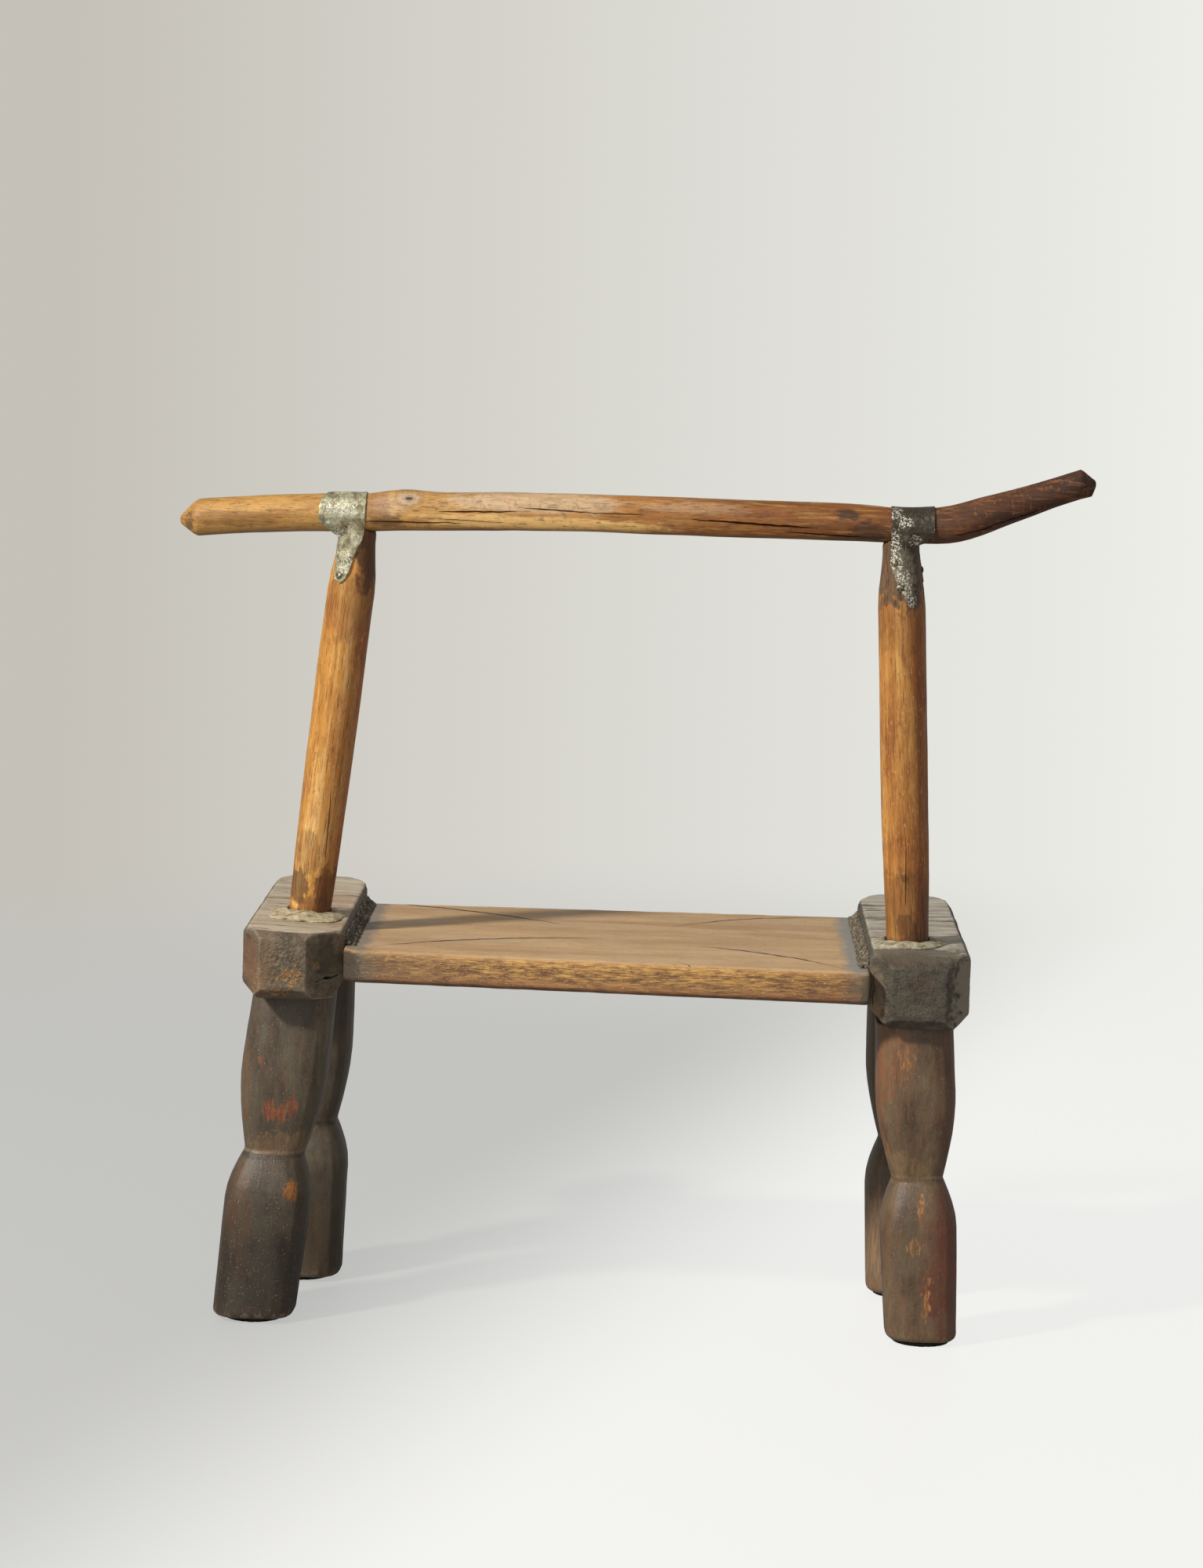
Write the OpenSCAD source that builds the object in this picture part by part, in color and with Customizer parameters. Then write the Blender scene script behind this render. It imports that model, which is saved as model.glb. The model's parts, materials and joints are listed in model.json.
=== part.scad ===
// Low wooden chair: a thin seat board let into two end blocks, each on a pair of waisted legs.
// Two round posts rise from the blocks and carry a bent back rail, held down by nailed metal straps.
// Millimetres. +X runs to the sitter's right, +Y to the front of the seat, +Z up.
// The back of the chair faces -Y, and the origin is under the middle of the whole, on the floor.

/* [Seat board] */
// Height of the seat's top face above the floor
seat_h = 252; // [230:1:280]
// Width of the seat between the two end blocks
seat_w = 344; // [300:1:400]
// Depth of the seat along its left end
seat_depth_left = 213; // [190:1:225]
// Depth of the seat along its right end
seat_depth_right = 246; // [215:1:255]
// How far the rear edge stands in front of the rear line at its left end
seat_rear_left = 8; // [0:1:20]
// How far the rear edge stands behind the rear line at its right end
seat_rear_right = 6; // [0:1:15]
// Thickness of the seat board
seat_t = 21.5; // [18:0.5:26]
// Radius of the worn long edges
seat_edge_r = 4; // [1:0.5:6]
// Length of the corner sawn off the board at its left rear
seat_corner_cut = 9; // [3:1:16]
// Thickness of the tongue at each end of the board
tongue_t = 11; // [8:0.5:13]
// How far each tongue enters its end block
tongue_l = 12; // [8:1:18]
// Distance from the board's front and rear edges to the tongues
tongue_inset = 26; // [20:1:40]

/* [End blocks] */
// Width of each end block
block_w = 66; // [58:1:80]
// Height of the left end block at its inner side
left_block_h = 44; // [40:1:54]
// Height of the right end block at its inner side
right_block_h = 48; // [42:1:56]
// How far the blocks' inner edges stand above the seat
block_rise = 10; // [8:0.5:14]
// Sideways slope of the left block's top, rising outwards, in degrees
left_block_tilt = 2; // [0:0.2:4]
// Sideways slope of the right block's top, rising outwards, in degrees
right_block_tilt = 1.4; // [0:0.2:4]
// Length of the left end block over all
left_block_l = 272; // [260:1:300]
// Length of the right end block over all
right_block_l = 288; // [270:1:310]
// Length of the rounded nose at each block's front end
nose_l = 58; // [40:1:70]
// Width of the facet cut off the left block's outer rear corner
left_outer_facet_w = 12; // [5:1:18]
// Width of the facet cut off the right block's outer rear corner
right_outer_facet_w = 16; // [5:1:18]
// Width of the facet cut off the left block's inner rear corner
left_inner_facet_w = 24; // [10:1:28]
// Width of the facet cut off the right block's inner rear corner
right_inner_facet_w = 15; // [10:1:28]
// How far forwards the left block's inner rear facet runs
left_inner_facet_l = 22; // [6:1:24]
// How far forwards the right block's inner rear facet runs
right_inner_facet_l = 9; // [6:1:24]
// Depth of the bevel along the left block's top rear edge
left_top_bevel = 6; // [2:0.5:10]
// Depth of the bevel along the right block's top rear edge
right_top_bevel = 9; // [2:0.5:10]

/* [Legs] */
// Width of the left legs above the waist
left_thigh_w = 56.5; // [50:0.5:62]
// Width of the left legs at the waist
left_waist_w = 39; // [32:0.5:46]
// Width of the left legs below the waist
left_calf_w = 56.5; // [50:0.5:64]
// Width of the left legs at the floor
left_foot_w = 54; // [46:0.5:60]
// Width of the right legs above the waist
right_thigh_w = 52.5; // [48:0.5:60]
// Width of the right legs at the waist
right_waist_w = 33.5; // [30:0.5:42]
// Width of the right legs below the waist
right_calf_w = 50.5; // [47:0.5:62]
// Width of the right legs at the floor
right_foot_w = 47.5; // [44:0.5:58]
// Height of the waist's groove above the floor
waist_h = 110; // [90:1:130]
// Height over which the upper part draws in to the waist
thigh_taper = 58; // [40:1:70]
// Height over which the lower part draws in to the waist
calf_taper = 33; // [20:1:50]
// Squareness of the legs' section: 2 is round, and higher is squarer
leg_squareness = 3.3; // [2:0.1:5]
// Distance from the rear line to the middle of the left rear foot
left_rear_leg_y = 34; // [32:1:60]
// Distance from the rear line to the middle of the right rear foot
right_rear_leg_y = 38; // [32:1:60]
// Distance from the rear line to the middle of the left front foot
left_front_leg_y = 158; // [140:1:180]
// Distance from the rear line to the middle of the right front foot
right_front_leg_y = 172; // [140:1:190]
// How far the left rear foot stands behind the leg's top
left_rear_lean = 24; // [0:1:26]
// How far the right rear foot stands behind the leg's top
right_rear_lean = 4; // [0:1:10]
// Distance from the left block's inner side to the middle of its rear leg's top
left_rear_leg_inset = 34; // [30:0.5:35]
// Distance from the right block's inner side to the middle of its rear leg's top
right_rear_leg_inset = 32; // [30:0.5:35]
// Distance from the left block's inner side to the middle of its front leg's top
left_front_leg_inset = 30; // [29.5:0.5:35]
// Distance from the right block's inner side to the middle of its front leg's top
right_front_leg_inset = 32.5; // [29.5:0.5:35]
// How far the left rear foot stands out from the leg's top
left_rear_splay = 20.5; // [0:0.5:30]
// How far the left front foot stands out from the leg's top
left_front_splay = 3; // [0:0.5:20]
// How far the right rear foot stands out from the leg's top
right_rear_splay = 13; // [0:0.5:30]
// How far the right front foot stands out from the leg's top
right_front_splay = 5; // [0:0.5:20]
// Diameter of the tenons on the legs' tops
leg_tenon_d = 26; // [20:1:30]
// Length of the tenons on the legs' tops
leg_tenon_l = 24; // [18:1:28]

/* [Floor pads] */
// Diameter of the pads under the feet
pad_d = 38; // [30:1:42]
// Thickness of the pads under the feet
pad_t = 3; // [2:0.5:5]

/* [Posts] */
// Diameter of each post where it enters its block
post_foot_d = 28; // [26:0.5:30]
// Largest diameter of each post, along its middle
post_belly_d = 31.2; // [29:0.2:34]
// Diameter of each post under the rail
post_neck_d = 23.2; // [22:0.2:28]
// Length over which the post draws in to its neck
neck_l = 41; // [24:1:60]
// Diameter of the tenon at the post's foot
post_tenon_d = 20; // [16:0.5:23]
// Length of the tenon at the post's foot
post_tenon_l = 30; // [20:1:34]
// Diameter of the tenon that enters the rail
rail_tenon_d = 12; // [9:0.5:14]
// Distance from the block's inner side to the left post's middle
left_post_inset = 29; // [24:0.5:36]
// Distance from the block's inner side to the right post's middle
right_post_inset = 26; // [24:0.5:36]
// Distance from the rear line to the left post's foot
left_post_y = 85; // [50:1:110]
// Distance from the rear line to the right post's foot
right_post_y = 54; // [40:1:110]
// How far the left post leans inwards over its height
left_post_lean = 31.5; // [0:0.5:40]
// How far the right post leans inwards over its height
right_post_lean = 18; // [0:0.5:40]

/* [Back rail] */
// Height of the rail's middle above the seat, over the left post
rail_rise = 284; // [250:1:320]
// Diameter of the rail
rail_d = 24.6; // [22:0.2:28]
// Squareness of the rail's section between the posts: 2 is round, and higher is squarer
rail_squareness = 3; // [2:0.1:4]
// Reach of the rail beyond the left post's middle
left_reach = 118; // [80:1:140]
// Reach of the rail beyond the right post's middle
right_reach = 125; // [90:1:150]
// Length of the blunt point at the left end
point_l = 12; // [6:1:20]
// How far the right end turns up
upturn = 33.5; // [0:0.5:50]
// Distance from the right post's middle to the start of the upturn
upturn_start = 33; // [26:1:50]
// Diameter of the rail at its right end, as a share of the rail's diameter
tail_taper = 0.8; // [0.6:0.01:1]
// Distance from the rear line to the rail's middle over the left post
rail_left_y = 32; // [20:1:60]
// Distance from the rear line to the rail's middle over the right post
rail_right_y = 26; // [20:1:60]
// How much the rail sags backwards between the posts
rail_bow = 5; // [0:1:15]
// How much the rail rises from the left post to the middle
rail_arch = 5.5; // [0:0.5:10]
// Swelling of the rail at the knot beside the left post
knot_swell = 2.4; // [0:0.2:4]
// Distance from the left post's middle to the knot
knot_x = 27; // [20:1:60]
// How much the rail's middle rises at the knot
knot_lift = 1.2; // [0:0.2:3]

/* [Straps and nails] */
// Thickness of the straps' sheet metal
strap_t = 0.8; // [0.5:0.1:1.5]
// Gap between a strap and the wood that it wraps
strap_gap = 0.35; // [0.2:0.05:0.6]
// Diameter of the nails
nail_d = 2; // [1.5:0.1:2.6]
// Diameter of the nails' heads
nail_head_d = 5.4; // [4:0.2:7]
// Thickness of the nails' heads
nail_head_t = 1.3; // [0.8:0.1:2]
// Length of the nails under their heads
nail_l = 11; // [8:0.5:12]

/* [Filler] */
// How much further the left heap spreads behind its post than beside it
left_patty_spread = 14; // [0:1:18]
// Height of the filler heaped round the posts' feet
patty_h = 5; // [3:0.5:8]
// Radius of the filler heaped round the posts' feet
patty_r = 24; // [20:0.5:26]
// Width of the fillet of filler along the seat's ends
seam_w = 7; // [4:0.5:10]
// Height of the fillet of filler along the seat's ends
seam_h = 6.5; // [4:0.5:7.5]

/* [Hidden] */
$fn = 64;

left = -1;
right = 1;
rear = 0;
front = 1;

// Fits: a tenon in its bore, a tongue in its groove, and wood cut to sit against wood
tenon_clear = 0.15;
groove_clear = 0.3;
cope_clear = 0.3;
bore_relief = 1;

post_x_left = -(seat_w / 2 + left_post_inset) + left_post_lean;
post_x_right = seat_w / 2 + right_post_inset - right_post_lean;
rail_x_min = post_x_left - left_reach;
rail_x_max = post_x_right + right_reach;
left_rear_y = 3;
right_rear_y = 1;
block_front = max(left_rear_y + left_block_l, right_rear_y + right_block_l);

// The middle of the whole chair, which becomes the origin
middle_x = (rail_x_min + rail_x_max) / 2;
middle_y = (block_front - seat_rear_right) / 2;

function mix(a, b, t) = a + (b - a) * t;
function clamp01(t) = min(1, max(0, t));
function smooth(t) = let (c = clamp01(t)) c * c * (3 - 2 * c);
function swell(t) = sin(90 * clamp01(t));
function bell(t) = exp(-t * t);

// Share of the radius at an angle round a circle that is squared off by n: 2 is round
function squared(a, n) = 1 / pow(pow(abs(cos(a)), n) + pow(abs(sin(a)), n), 1 / n);

// Sizes that differ from left to right
function block_h(side) = side == left ? left_block_h : right_block_h;
function block_tilt(side) = side == left ? left_block_tilt : right_block_tilt;
function block_l(side) = side == left ? left_block_l : right_block_l;
function block_y(side) = side == left ? left_rear_y : right_rear_y;
function block_top(side) = seat_h + block_rise;
function block_bottom(side) = block_top(side) - block_h(side);

// Height of a block's sloping top at a distance from its inner side
function top_at(side, inset) = block_top(side) + inset * tan(block_tilt(side));

// A closed tube through rings of points, all rings with the same number of points
module skin(rings) {
    n = len(rings[0]);
    last = len(rings) - 1;
    points = [for (ring = rings) each ring];
    sides = [
        for (k = [0:last - 1]) for (i = [0:n - 1])
            let (j = (i + 1) % n)
            each [
                [k * n + i, (k + 1) * n + i, k * n + j],
                [k * n + j, (k + 1) * n + i, (k + 1) * n + j]
            ]
    ];
    start = [for (i = [0:n - 1]) i];
    end = [for (i = [n - 1:-1:0]) last * n + i];
    polyhedron(points = points, faces = concat(sides, [start, end]), convexity = 4);
}

// A closed ring through sections, the last joined to the first
module ring_skin(rings) {
    n = len(rings[0]);
    turns = len(rings);
    faces = [
        for (k = [0:turns - 1]) for (i = [0:n - 1])
            let (j = (i + 1) % n, m = (k + 1) % turns)
            each [
                [k * n + i, m * n + i, k * n + j],
                [k * n + j, m * n + i, m * n + j]
            ]
    ];
    polyhedron(points = [for (ring = rings) each ring], faces = faces, convexity = 6);
}

// Mirrors what is drawn for the right side when the side is the left one
module on_side(side) {
    mirror([side == left ? 1 : 0, 0, 0])
        translate([seat_w / 2, 0, 0])
            children();
}

// Seat board

slab_depth = 270;

// Two tongues in one strip, inset from the board's edges so that the grooves are hidden
module tongue_strip(clear) {
    reach = seat_w / 2 + tongue_l + clear;
    rear_y = seat_rear_left + tongue_inset - clear;
    front_y = seat_rear_left + seat_depth_left - tongue_inset + clear;
    translate([-reach, rear_y, seat_h - seat_t / 2 - tongue_t / 2 - clear / 2])
        cube([2 * reach, front_y - rear_y, tongue_t + clear]);
}

// A long slab with one worn edge along X, seen from its end: depth along X here, thickness along Y
module worn_slab_section() {
    r = seat_edge_r;
    polygon(concat(
        [for (a = [180:15:270]) [r + r * cos(a), r + r * sin(a)]],
        [[slab_depth, 0], [slab_depth, seat_t]],
        [for (a = [90:15:180]) [r + r * cos(a), seat_t - r + r * sin(a)]]
    ));
}

// The slab with its worn edge through the middle of the board's rear or front edge
module worn_slab(mid_y, skew, side_sign) {
    translate([0, mid_y, seat_h - seat_t])
        rotate(skew)
            mirror([0, side_sign == rear ? 0 : 1, 0])
                rotate([90, 0, 90])
                    translate([0, 0, -seat_w])
                        linear_extrude(2 * seat_w)
                            worn_slab_section();
}

module seat_board() {
    rear_skew = atan((seat_rear_left + seat_rear_right) / seat_w);
    front_skew = atan((seat_depth_right - seat_depth_left - seat_rear_right - seat_rear_left) / seat_w);
    front_mid = (seat_rear_left + seat_depth_left - seat_rear_right + seat_depth_right) / 2;
    color("tan")
        union() {
            difference() {
                intersection() {
                    worn_slab((seat_rear_left - seat_rear_right) / 2, -rear_skew, rear);
                    worn_slab(front_mid, front_skew, front);
                    translate([-seat_w / 2, -slab_depth, seat_h - seat_t - 1])
                        cube([seat_w, 3 * slab_depth, seat_t + 2]);
                }
                // Left rear corner sawn off
                translate([-seat_w / 2, seat_rear_left + seat_corner_cut, seat_h - seat_t - 1])
                    rotate(-45)
                        translate([-slab_depth / 2, -slab_depth, 0])
                            cube([slab_depth, slab_depth, seat_t + 2]);
            }
            tongue_strip(0);
        }
}

// End blocks, drawn with X outwards from the inner side

nose_steps = 14;
outer_facet_l = 13;
arris = 3;
low_outer_w = 11;
low_outer_h = 10;
low_rear_l = 6;
low_rear_h = 7;
toe_l = 26;
toe_h = 12;
toe_top = 8;
function low_inner_w(side) = side == left ? 7 : 14;
function low_inner_h(side) = side == left ? 11 : 13;
function inner_facet_w(side) = side == left ? left_inner_facet_w : right_inner_facet_w;
function inner_facet_l(side) = side == left ? left_inner_facet_l : right_inner_facet_l;
function outer_facet_w(side) = side == left ? left_outer_facet_w : right_outer_facet_w;
function top_bevel(side) = side == left ? left_top_bevel : right_top_bevel;

// Plan: a square rear end with two facets, and a rounded nose in front
module block_plan(side) {
    y0 = block_y(side);
    shoulder = y0 + block_l(side) - nose_l;
    nose = [
        for (k = [0:nose_steps])
            let (a = 180 * k / nose_steps)
            [block_w / 2 * (1 + cos(a)), shoulder + nose_l * pow(sin(a), 0.8)]
    ];
    polygon(concat(
        [
            [0, y0 + inner_facet_l(side)],
            [inner_facet_w(side), y0],
            [block_w - outer_facet_w(side), y0],
            [block_w, y0 + outer_facet_l]
        ],
        nose
    ));
}

// Cross-section: sloping top with worn arrises, and the two lower corners cut away
module block_section(side) {
    bottom = block_bottom(side);
    outer_top = top_at(side, block_w);
    polygon([
        [low_inner_w(side), bottom],
        [block_w - low_outer_w, bottom],
        [block_w, bottom + low_outer_h],
        [block_w, outer_top - arris],
        [block_w - arris, top_at(side, block_w - arris)],
        [arris, top_at(side, arris)],
        [0, top_at(side, 0) - arris],
        [0, bottom + low_inner_h(side)]
    ]);
}

// Side view: bevelled top edge behind, cut lower edge, and a toe that rises under the nose
module block_side(side) {
    y0 = block_y(side);
    y1 = y0 + block_l(side);
    bottom = block_bottom(side);
    top = top_at(side, block_w) + 1;
    polygon([
        [y0 + low_rear_l, bottom],
        [y0, bottom + low_rear_h],
        [y0, top - 1 - top_bevel(side)],
        [y0 + top_bevel(side), top],
        [y1 - toe_top, top],
        [y1, top - toe_top],
        [y1, bottom + toe_h],
        [y1 - toe_l, bottom]
    ]);
}

module end_block(side) {
    color(side == left ? "dimgray" : "slategray")
        difference() {
            on_side(side)
                intersection() {
                    translate([0, 0, block_bottom(side) - 1])
                        linear_extrude(block_h(side) + 12)
                            block_plan(side);
                    translate([0, block_front + 1, 0])
                        rotate([90, 0, 0])
                            linear_extrude(block_front + 2)
                                block_section(side);
                    translate([-1, 0, 0])
                        rotate([90, 0, 90])
                            linear_extrude(block_w + 2)
                                block_side(side);
                }
            tongue_strip(groove_clear);
            for (row = [rear, front])
                leg_tenon(side, row, tenon_clear, bore_relief);
            post_frame(side)
                translate([0, 0, -post_tenon_l - bore_relief])
                    cylinder(d = post_tenon_d + 2 * tenon_clear, h = post_tenon_l + bore_relief + 20);
        }
}

// Legs

function leg_y(side, row) =
    side == left ? (row == rear ? left_rear_leg_y : left_front_leg_y)
                 : (row == rear ? right_rear_leg_y : right_front_leg_y);
function leg_inset(side, row) =
    side == left ? (row == rear ? left_rear_leg_inset : left_front_leg_inset)
                 : (row == rear ? right_rear_leg_inset : right_front_leg_inset);
function leg_lean(side, row) = row == front ? 0 : side == left ? left_rear_lean : right_rear_lean;
function leg_splay(side, row) =
    side == left ? (row == rear ? left_rear_splay : left_front_splay)
                 : (row == rear ? right_rear_splay : right_front_splay);
function thigh_w(side) = side == left ? left_thigh_w : right_thigh_w;
function waist_w(side) = side == left ? left_waist_w : right_waist_w;
function calf_w(side) = side == left ? left_calf_w : right_calf_w;
function foot_w(side) = side == left ? left_foot_w : right_foot_w;

// Distance from the block's inner side to the leg's middle at a height
function leg_inset_at(side, row, z) =
    leg_inset(side, row) + leg_splay(side, row) * (1 - z / block_bottom(side));

// Distance from the rear line to the leg's middle at a height
function leg_y_at(side, row, z) = leg_y(side, row) + leg_lean(side, row) * z / block_bottom(side);

// The leg's width at a height: two barrels that meet in a sharp groove
function leg_w_at(side, z) =
    z > waist_h
    ? mix(waist_w(side), thigh_w(side), swell((z - waist_h) / thigh_taper))
      - 1.5 * smooth((z - waist_h - thigh_taper) / thigh_taper)
    : mix(waist_w(side), calf_w(side), swell((waist_h - z) / calf_taper))
      - (calf_w(side) - foot_w(side)) * smooth((waist_h - calf_taper - z) / (waist_h - calf_taper));

leg_sides = 28;
foot_round = 3;

// Length over which the rings turn from level, at each end, to square with the leaning leg
level_l = 40;

// Rise of a ring per millimetre outwards and per millimetre backwards
function leg_tilt(side, row, z) =
    [leg_splay(side, row), leg_lean(side, row)] / block_bottom(side)
    * smooth((z - pad_t) / level_l) * smooth((block_bottom(side) - z) / level_l);

// One ring of a leg, a circle squared off by the legs' squareness
function leg_ring(side, row, z, shrink = 0) = [
    for (k = [0:leg_sides - 1])
        let (
            a = 360 * k / leg_sides,
            r = (leg_w_at(side, z) / 2 - shrink) * squared(a, leg_squareness),
            out = r * cos(a),
            ahead = r * sin(a),
            tilt = leg_tilt(side, row, z)
        )
        [leg_inset_at(side, row, z) + out, leg_y_at(side, row, z) + ahead, z + out * tilt.x - ahead * tilt.y]
];

module leg_tenon(side, row, clear, relief) {
    on_side(side)
        translate([leg_inset(side, row), leg_y(side, row) + leg_lean(side, row), block_bottom(side) - 2])
            cylinder(d = leg_tenon_d + 2 * clear, h = leg_tenon_l + 2 + relief);
}

module leg(side, row) {
    top = block_bottom(side);
    levels = concat(
        [for (t = [0:0.25:1]) mix(pad_t + foot_round, waist_h - calf_taper, t)],
        [for (t = [0.25:0.25:0.75]) waist_h - calf_taper * (1 - t)],
        [waist_h - 1.5, waist_h, waist_h + 2],
        [for (t = [0.17:0.17:1.02]) waist_h + thigh_taper * t],
        [mix(waist_h + thigh_taper, top, 0.5), top]
    );
    color(side == left ? "darkslategray" : "sienna") {
        on_side(side)
            skin(concat(
                [leg_ring(side, row, pad_t, foot_round), leg_ring(side, row, pad_t + 1, foot_round * 0.4)],
                [for (z = levels) leg_ring(side, row, z)]
            ));
        leg_tenon(side, row, 0, 0);
    }
}

module floor_pad(side, row) {
    color("black")
        on_side(side)
            translate([leg_inset_at(side, row, 0), leg_y(side, row), 0])
                cylinder(d = pad_d, h = pad_t);
}

// Back rail

function post_x(side) = side == left ? post_x_left : post_x_right;
function rail_y_at_post(side) = side == left ? rail_left_y : rail_right_y;

// Share of the way from the left post to the right one
function along(x) = (x - post_x_left) / (post_x_right - post_x_left);

rail_z = seat_h + rail_rise;
droop = 8;
bend_x = post_x_right + upturn_start;
bend_l = 26;
tail_slope = upturn / (rail_x_max - bend_x);
knot_half_l = 15;

// A swelling just beyond the bend, and a thinner place over the right post
bend_swell = 0.5;
swell_x = bend_x + 16;
swell_half_l = 15;
post_pinch = 1.1;
pinch_x = post_x_right + 3;
pinch_half_l = 22;

// The rail's middle line: level between the posts, drooping at the left, turned up at the right
function rail_mid(x) = [
    x,
    mix(rail_left_y, rail_right_y, along(x))
        - rail_bow * (along(x) > 0 && along(x) < 1 ? pow(sin(180 * along(x)), 2) : 0),
    rail_z + rail_arch * swell(along(x) * 2.2)
        + knot_lift * knot(x)
        - post_pinch * bell((x - pinch_x) / pinch_half_l)
        - (x < post_x_left ? droop * pow((post_x_left - x) / left_reach, 1.6) : 0)
        + (x < bend_x - bend_l / 2 ? 0
            : x < bend_x + bend_l / 2 ? tail_slope * pow(x - bend_x + bend_l / 2, 2) / 2 / bend_l
            : tail_slope * (x - bend_x))
];

// Share of the knot's swelling at a place along the rail
function knot(x) = bell((x - post_x_left - knot_x) / knot_half_l);

// The rail's radius, swelling at the knot and drawing in along the upturned end
function rail_r(x) =
    rail_d / 2
    + knot_swell / 2 * knot(x)
    + bend_swell * bell((x - swell_x) / swell_half_l)
    - post_pinch * bell((x - pinch_x) / pinch_half_l)
    - rail_d / 2 * (1 - tail_taper) * smooth((x - bend_x) / (rail_x_max - bend_x - 10));

rail_sides = 24;
rail_step = 7;

// The right end is cut blunt: a long slope above and a short one below
cut_l = 10;
cut_low_l = 2.3;

// The rail stays round for this far past each post, then grows square over the next stretch
round_l = 24;
left_squaring_l = 20;
right_squaring_l = 60;

function rail_n(x) =
    2 + (rail_squareness - 2)
    * smooth((x - post_x_left - round_l) / left_squaring_l)
    * smooth((post_x_right - round_l - x) / right_squaring_l);

function rail_ring(x, scale_r = 1, drop = 0) = [
    for (k = [0:rail_sides - 1])
        let (a = 360 * k / rail_sides, c = rail_mid(x), r = rail_r(x) * scale_r * squared(a, rail_n(x)))
        [x, c.y + r * cos(a), c.z + r * sin(a) - drop]
];

module back_rail() {
    x0 = rail_x_min + point_l;
    x1 = rail_x_max - cut_l;
    steps = round((x1 - x0) / rail_step);
    color("peru")
        difference() {
            skin(concat(
                [rail_ring(rail_x_min, 0.2, 0.5), rail_ring(x0 - point_l * 0.25, 0.87, 0)],
                [for (k = [0:steps]) rail_ring(mix(x0, x1, k / steps))],
                [rail_ring(rail_x_max - cut_low_l, 0.6, 4.6), rail_ring(rail_x_max, 0.2, 2.9)]
            ));
            for (side = [left, right])
                rail_tenon(side, tenon_clear, bore_relief);
        }
}

// Posts, drawn upright and leant by the frame that joins their foot to the rail's middle

function post_foot(side) = [
    side * (seat_w / 2 + (side == left ? left_post_inset : right_post_inset)),
    side == left ? left_post_y : right_post_y,
    top_at(side, side == left ? left_post_inset : right_post_inset)
];
function post_head(side) = rail_mid(post_x(side));
function post_run(side) = norm(post_head(side) - post_foot(side));
function post_dir(side) = (post_head(side) - post_foot(side)) / post_run(side);
function post_pitch(side) = -asin(post_dir(side).y);
function post_roll(side) = atan2(post_dir(side).x, post_dir(side).z);

module post_frame(side) {
    translate(post_foot(side))
        rotate([post_pitch(side), post_roll(side), 0])
            children();
}

// Radius at a distance up the post: a slight belly, then a neck under the rail
function post_r(side, t) =
    mix(post_foot_d, post_belly_d, swell(t / 120)) / 2
    - (post_belly_d - post_neck_d) / 2 * smooth(1 - (post_run(side) - rail_d / 2 - t) / neck_l);

post_top_drop = 8;
rail_tenon_rise = 5;
foot_skirt = 6;

module rail_tenon(side, clear, relief) {
    post_frame(side)
        translate([0, 0, post_run(side) - 24])
            cylinder(d = rail_tenon_d + 2 * clear, h = 24 + rail_tenon_rise + relief);
}

module post(side) {
    run = post_run(side);
    top = run - post_top_drop;
    steps = 24;
    profile = [for (k = [0:steps]) let (t = top * k / steps) [post_r(side, t), t]];
    color("chocolate")
        difference() {
            union() {
                difference() {
                    post_frame(side)
                        rotate_extrude()
                            polygon(concat([[0, -foot_skirt], [post_foot_d / 2, -foot_skirt]], profile, [[0, top]]));
                    // Saddle cut for the rail
                    translate(post_head(side))
                        rotate([0, 90, 0])
                            cylinder(r = rail_r(post_x(side)) + cope_clear, h = 80, center = true, $fn = 96);
                    // Foot cut to the block's sloping top
                    under_block_top(side);
                }
                post_frame(side)
                    translate([0, 0, -post_tenon_l])
                        cylinder(d = post_tenon_d, h = post_tenon_l + 12);
                rail_tenon(side, 0, 0);
            }
            for (nail = strap_nails(side))
                nail_at(side, nail)
                    translate([0, 0, -nail_l - 2])
                        cylinder(d = nail_d + 0.1, h = nail_l + 30, $fn = 24);
        }
}

// Everything below the sloping top of a block, near its post
module under_block_top(side) {
    on_side(side)
        translate([0, 0, block_top(side)])
            rotate([0, -block_tilt(side), 0])
                translate([-20, 0, -60])
                    cube([block_w + 60, block_l(side), 60]);
}

// Straps: sheet metal draped over the rail, with a tongue down each face of the post

// Outline rows of each tongue, hand cut: drop below the rail's middle, left edge, right edge,
// in millimetres from the post's middle line
left_near_rows = [[45.5, -7.5, -6], [43.5, -10.6, -4.2], [39, -11, -2], [34, -11.3, -1.2], [28, -11.6, 0],
                  [22, -12, 1.6], [17, -13.6, 3.6], [11, -19.5, 4], [7, -25, 4.2], [3, -26.8, 3.8]];
left_far_rows = [[3, -26.8, 3.8], [7, -25, 4.2], [11, -19, 4.4], [16, -11, 5], [22, -8, 6], [30, -6, 4.5], [37, -3, 2]];
right_near_rows = [[52.5, 5.3, 7.5], [47.5, 1.3, 8.9], [42, -1, 9], [36.5, -3.3, 8.9], [30, -5.2, 8.8],
                   [24.5, -6.7, 8.7], [15, -6.3, 8], [12, -6.2, 12], [9.5, -6.1, 17.5], [3, -6.2, 22]];
right_far_rows = [[3, -6.2, 22], [9, -6, 17], [12, -6, 13], [16, -6, 12.4], [22, -5, 13], [30, -3, 14],
                  [36, 2, 14], [41, 7, 11]];

function near_rows(side) = side == left ? left_near_rows : right_near_rows;
function far_rows(side) = side == left ? left_far_rows : right_far_rows;

strap_cols = 8;
wrap_step = 15;
// How much narrower the left band is over the top of the rail
band_trim = 5;

// The sheet turns no further than this round a post from its near or far face
wrap_limit = sin(80);

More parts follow.
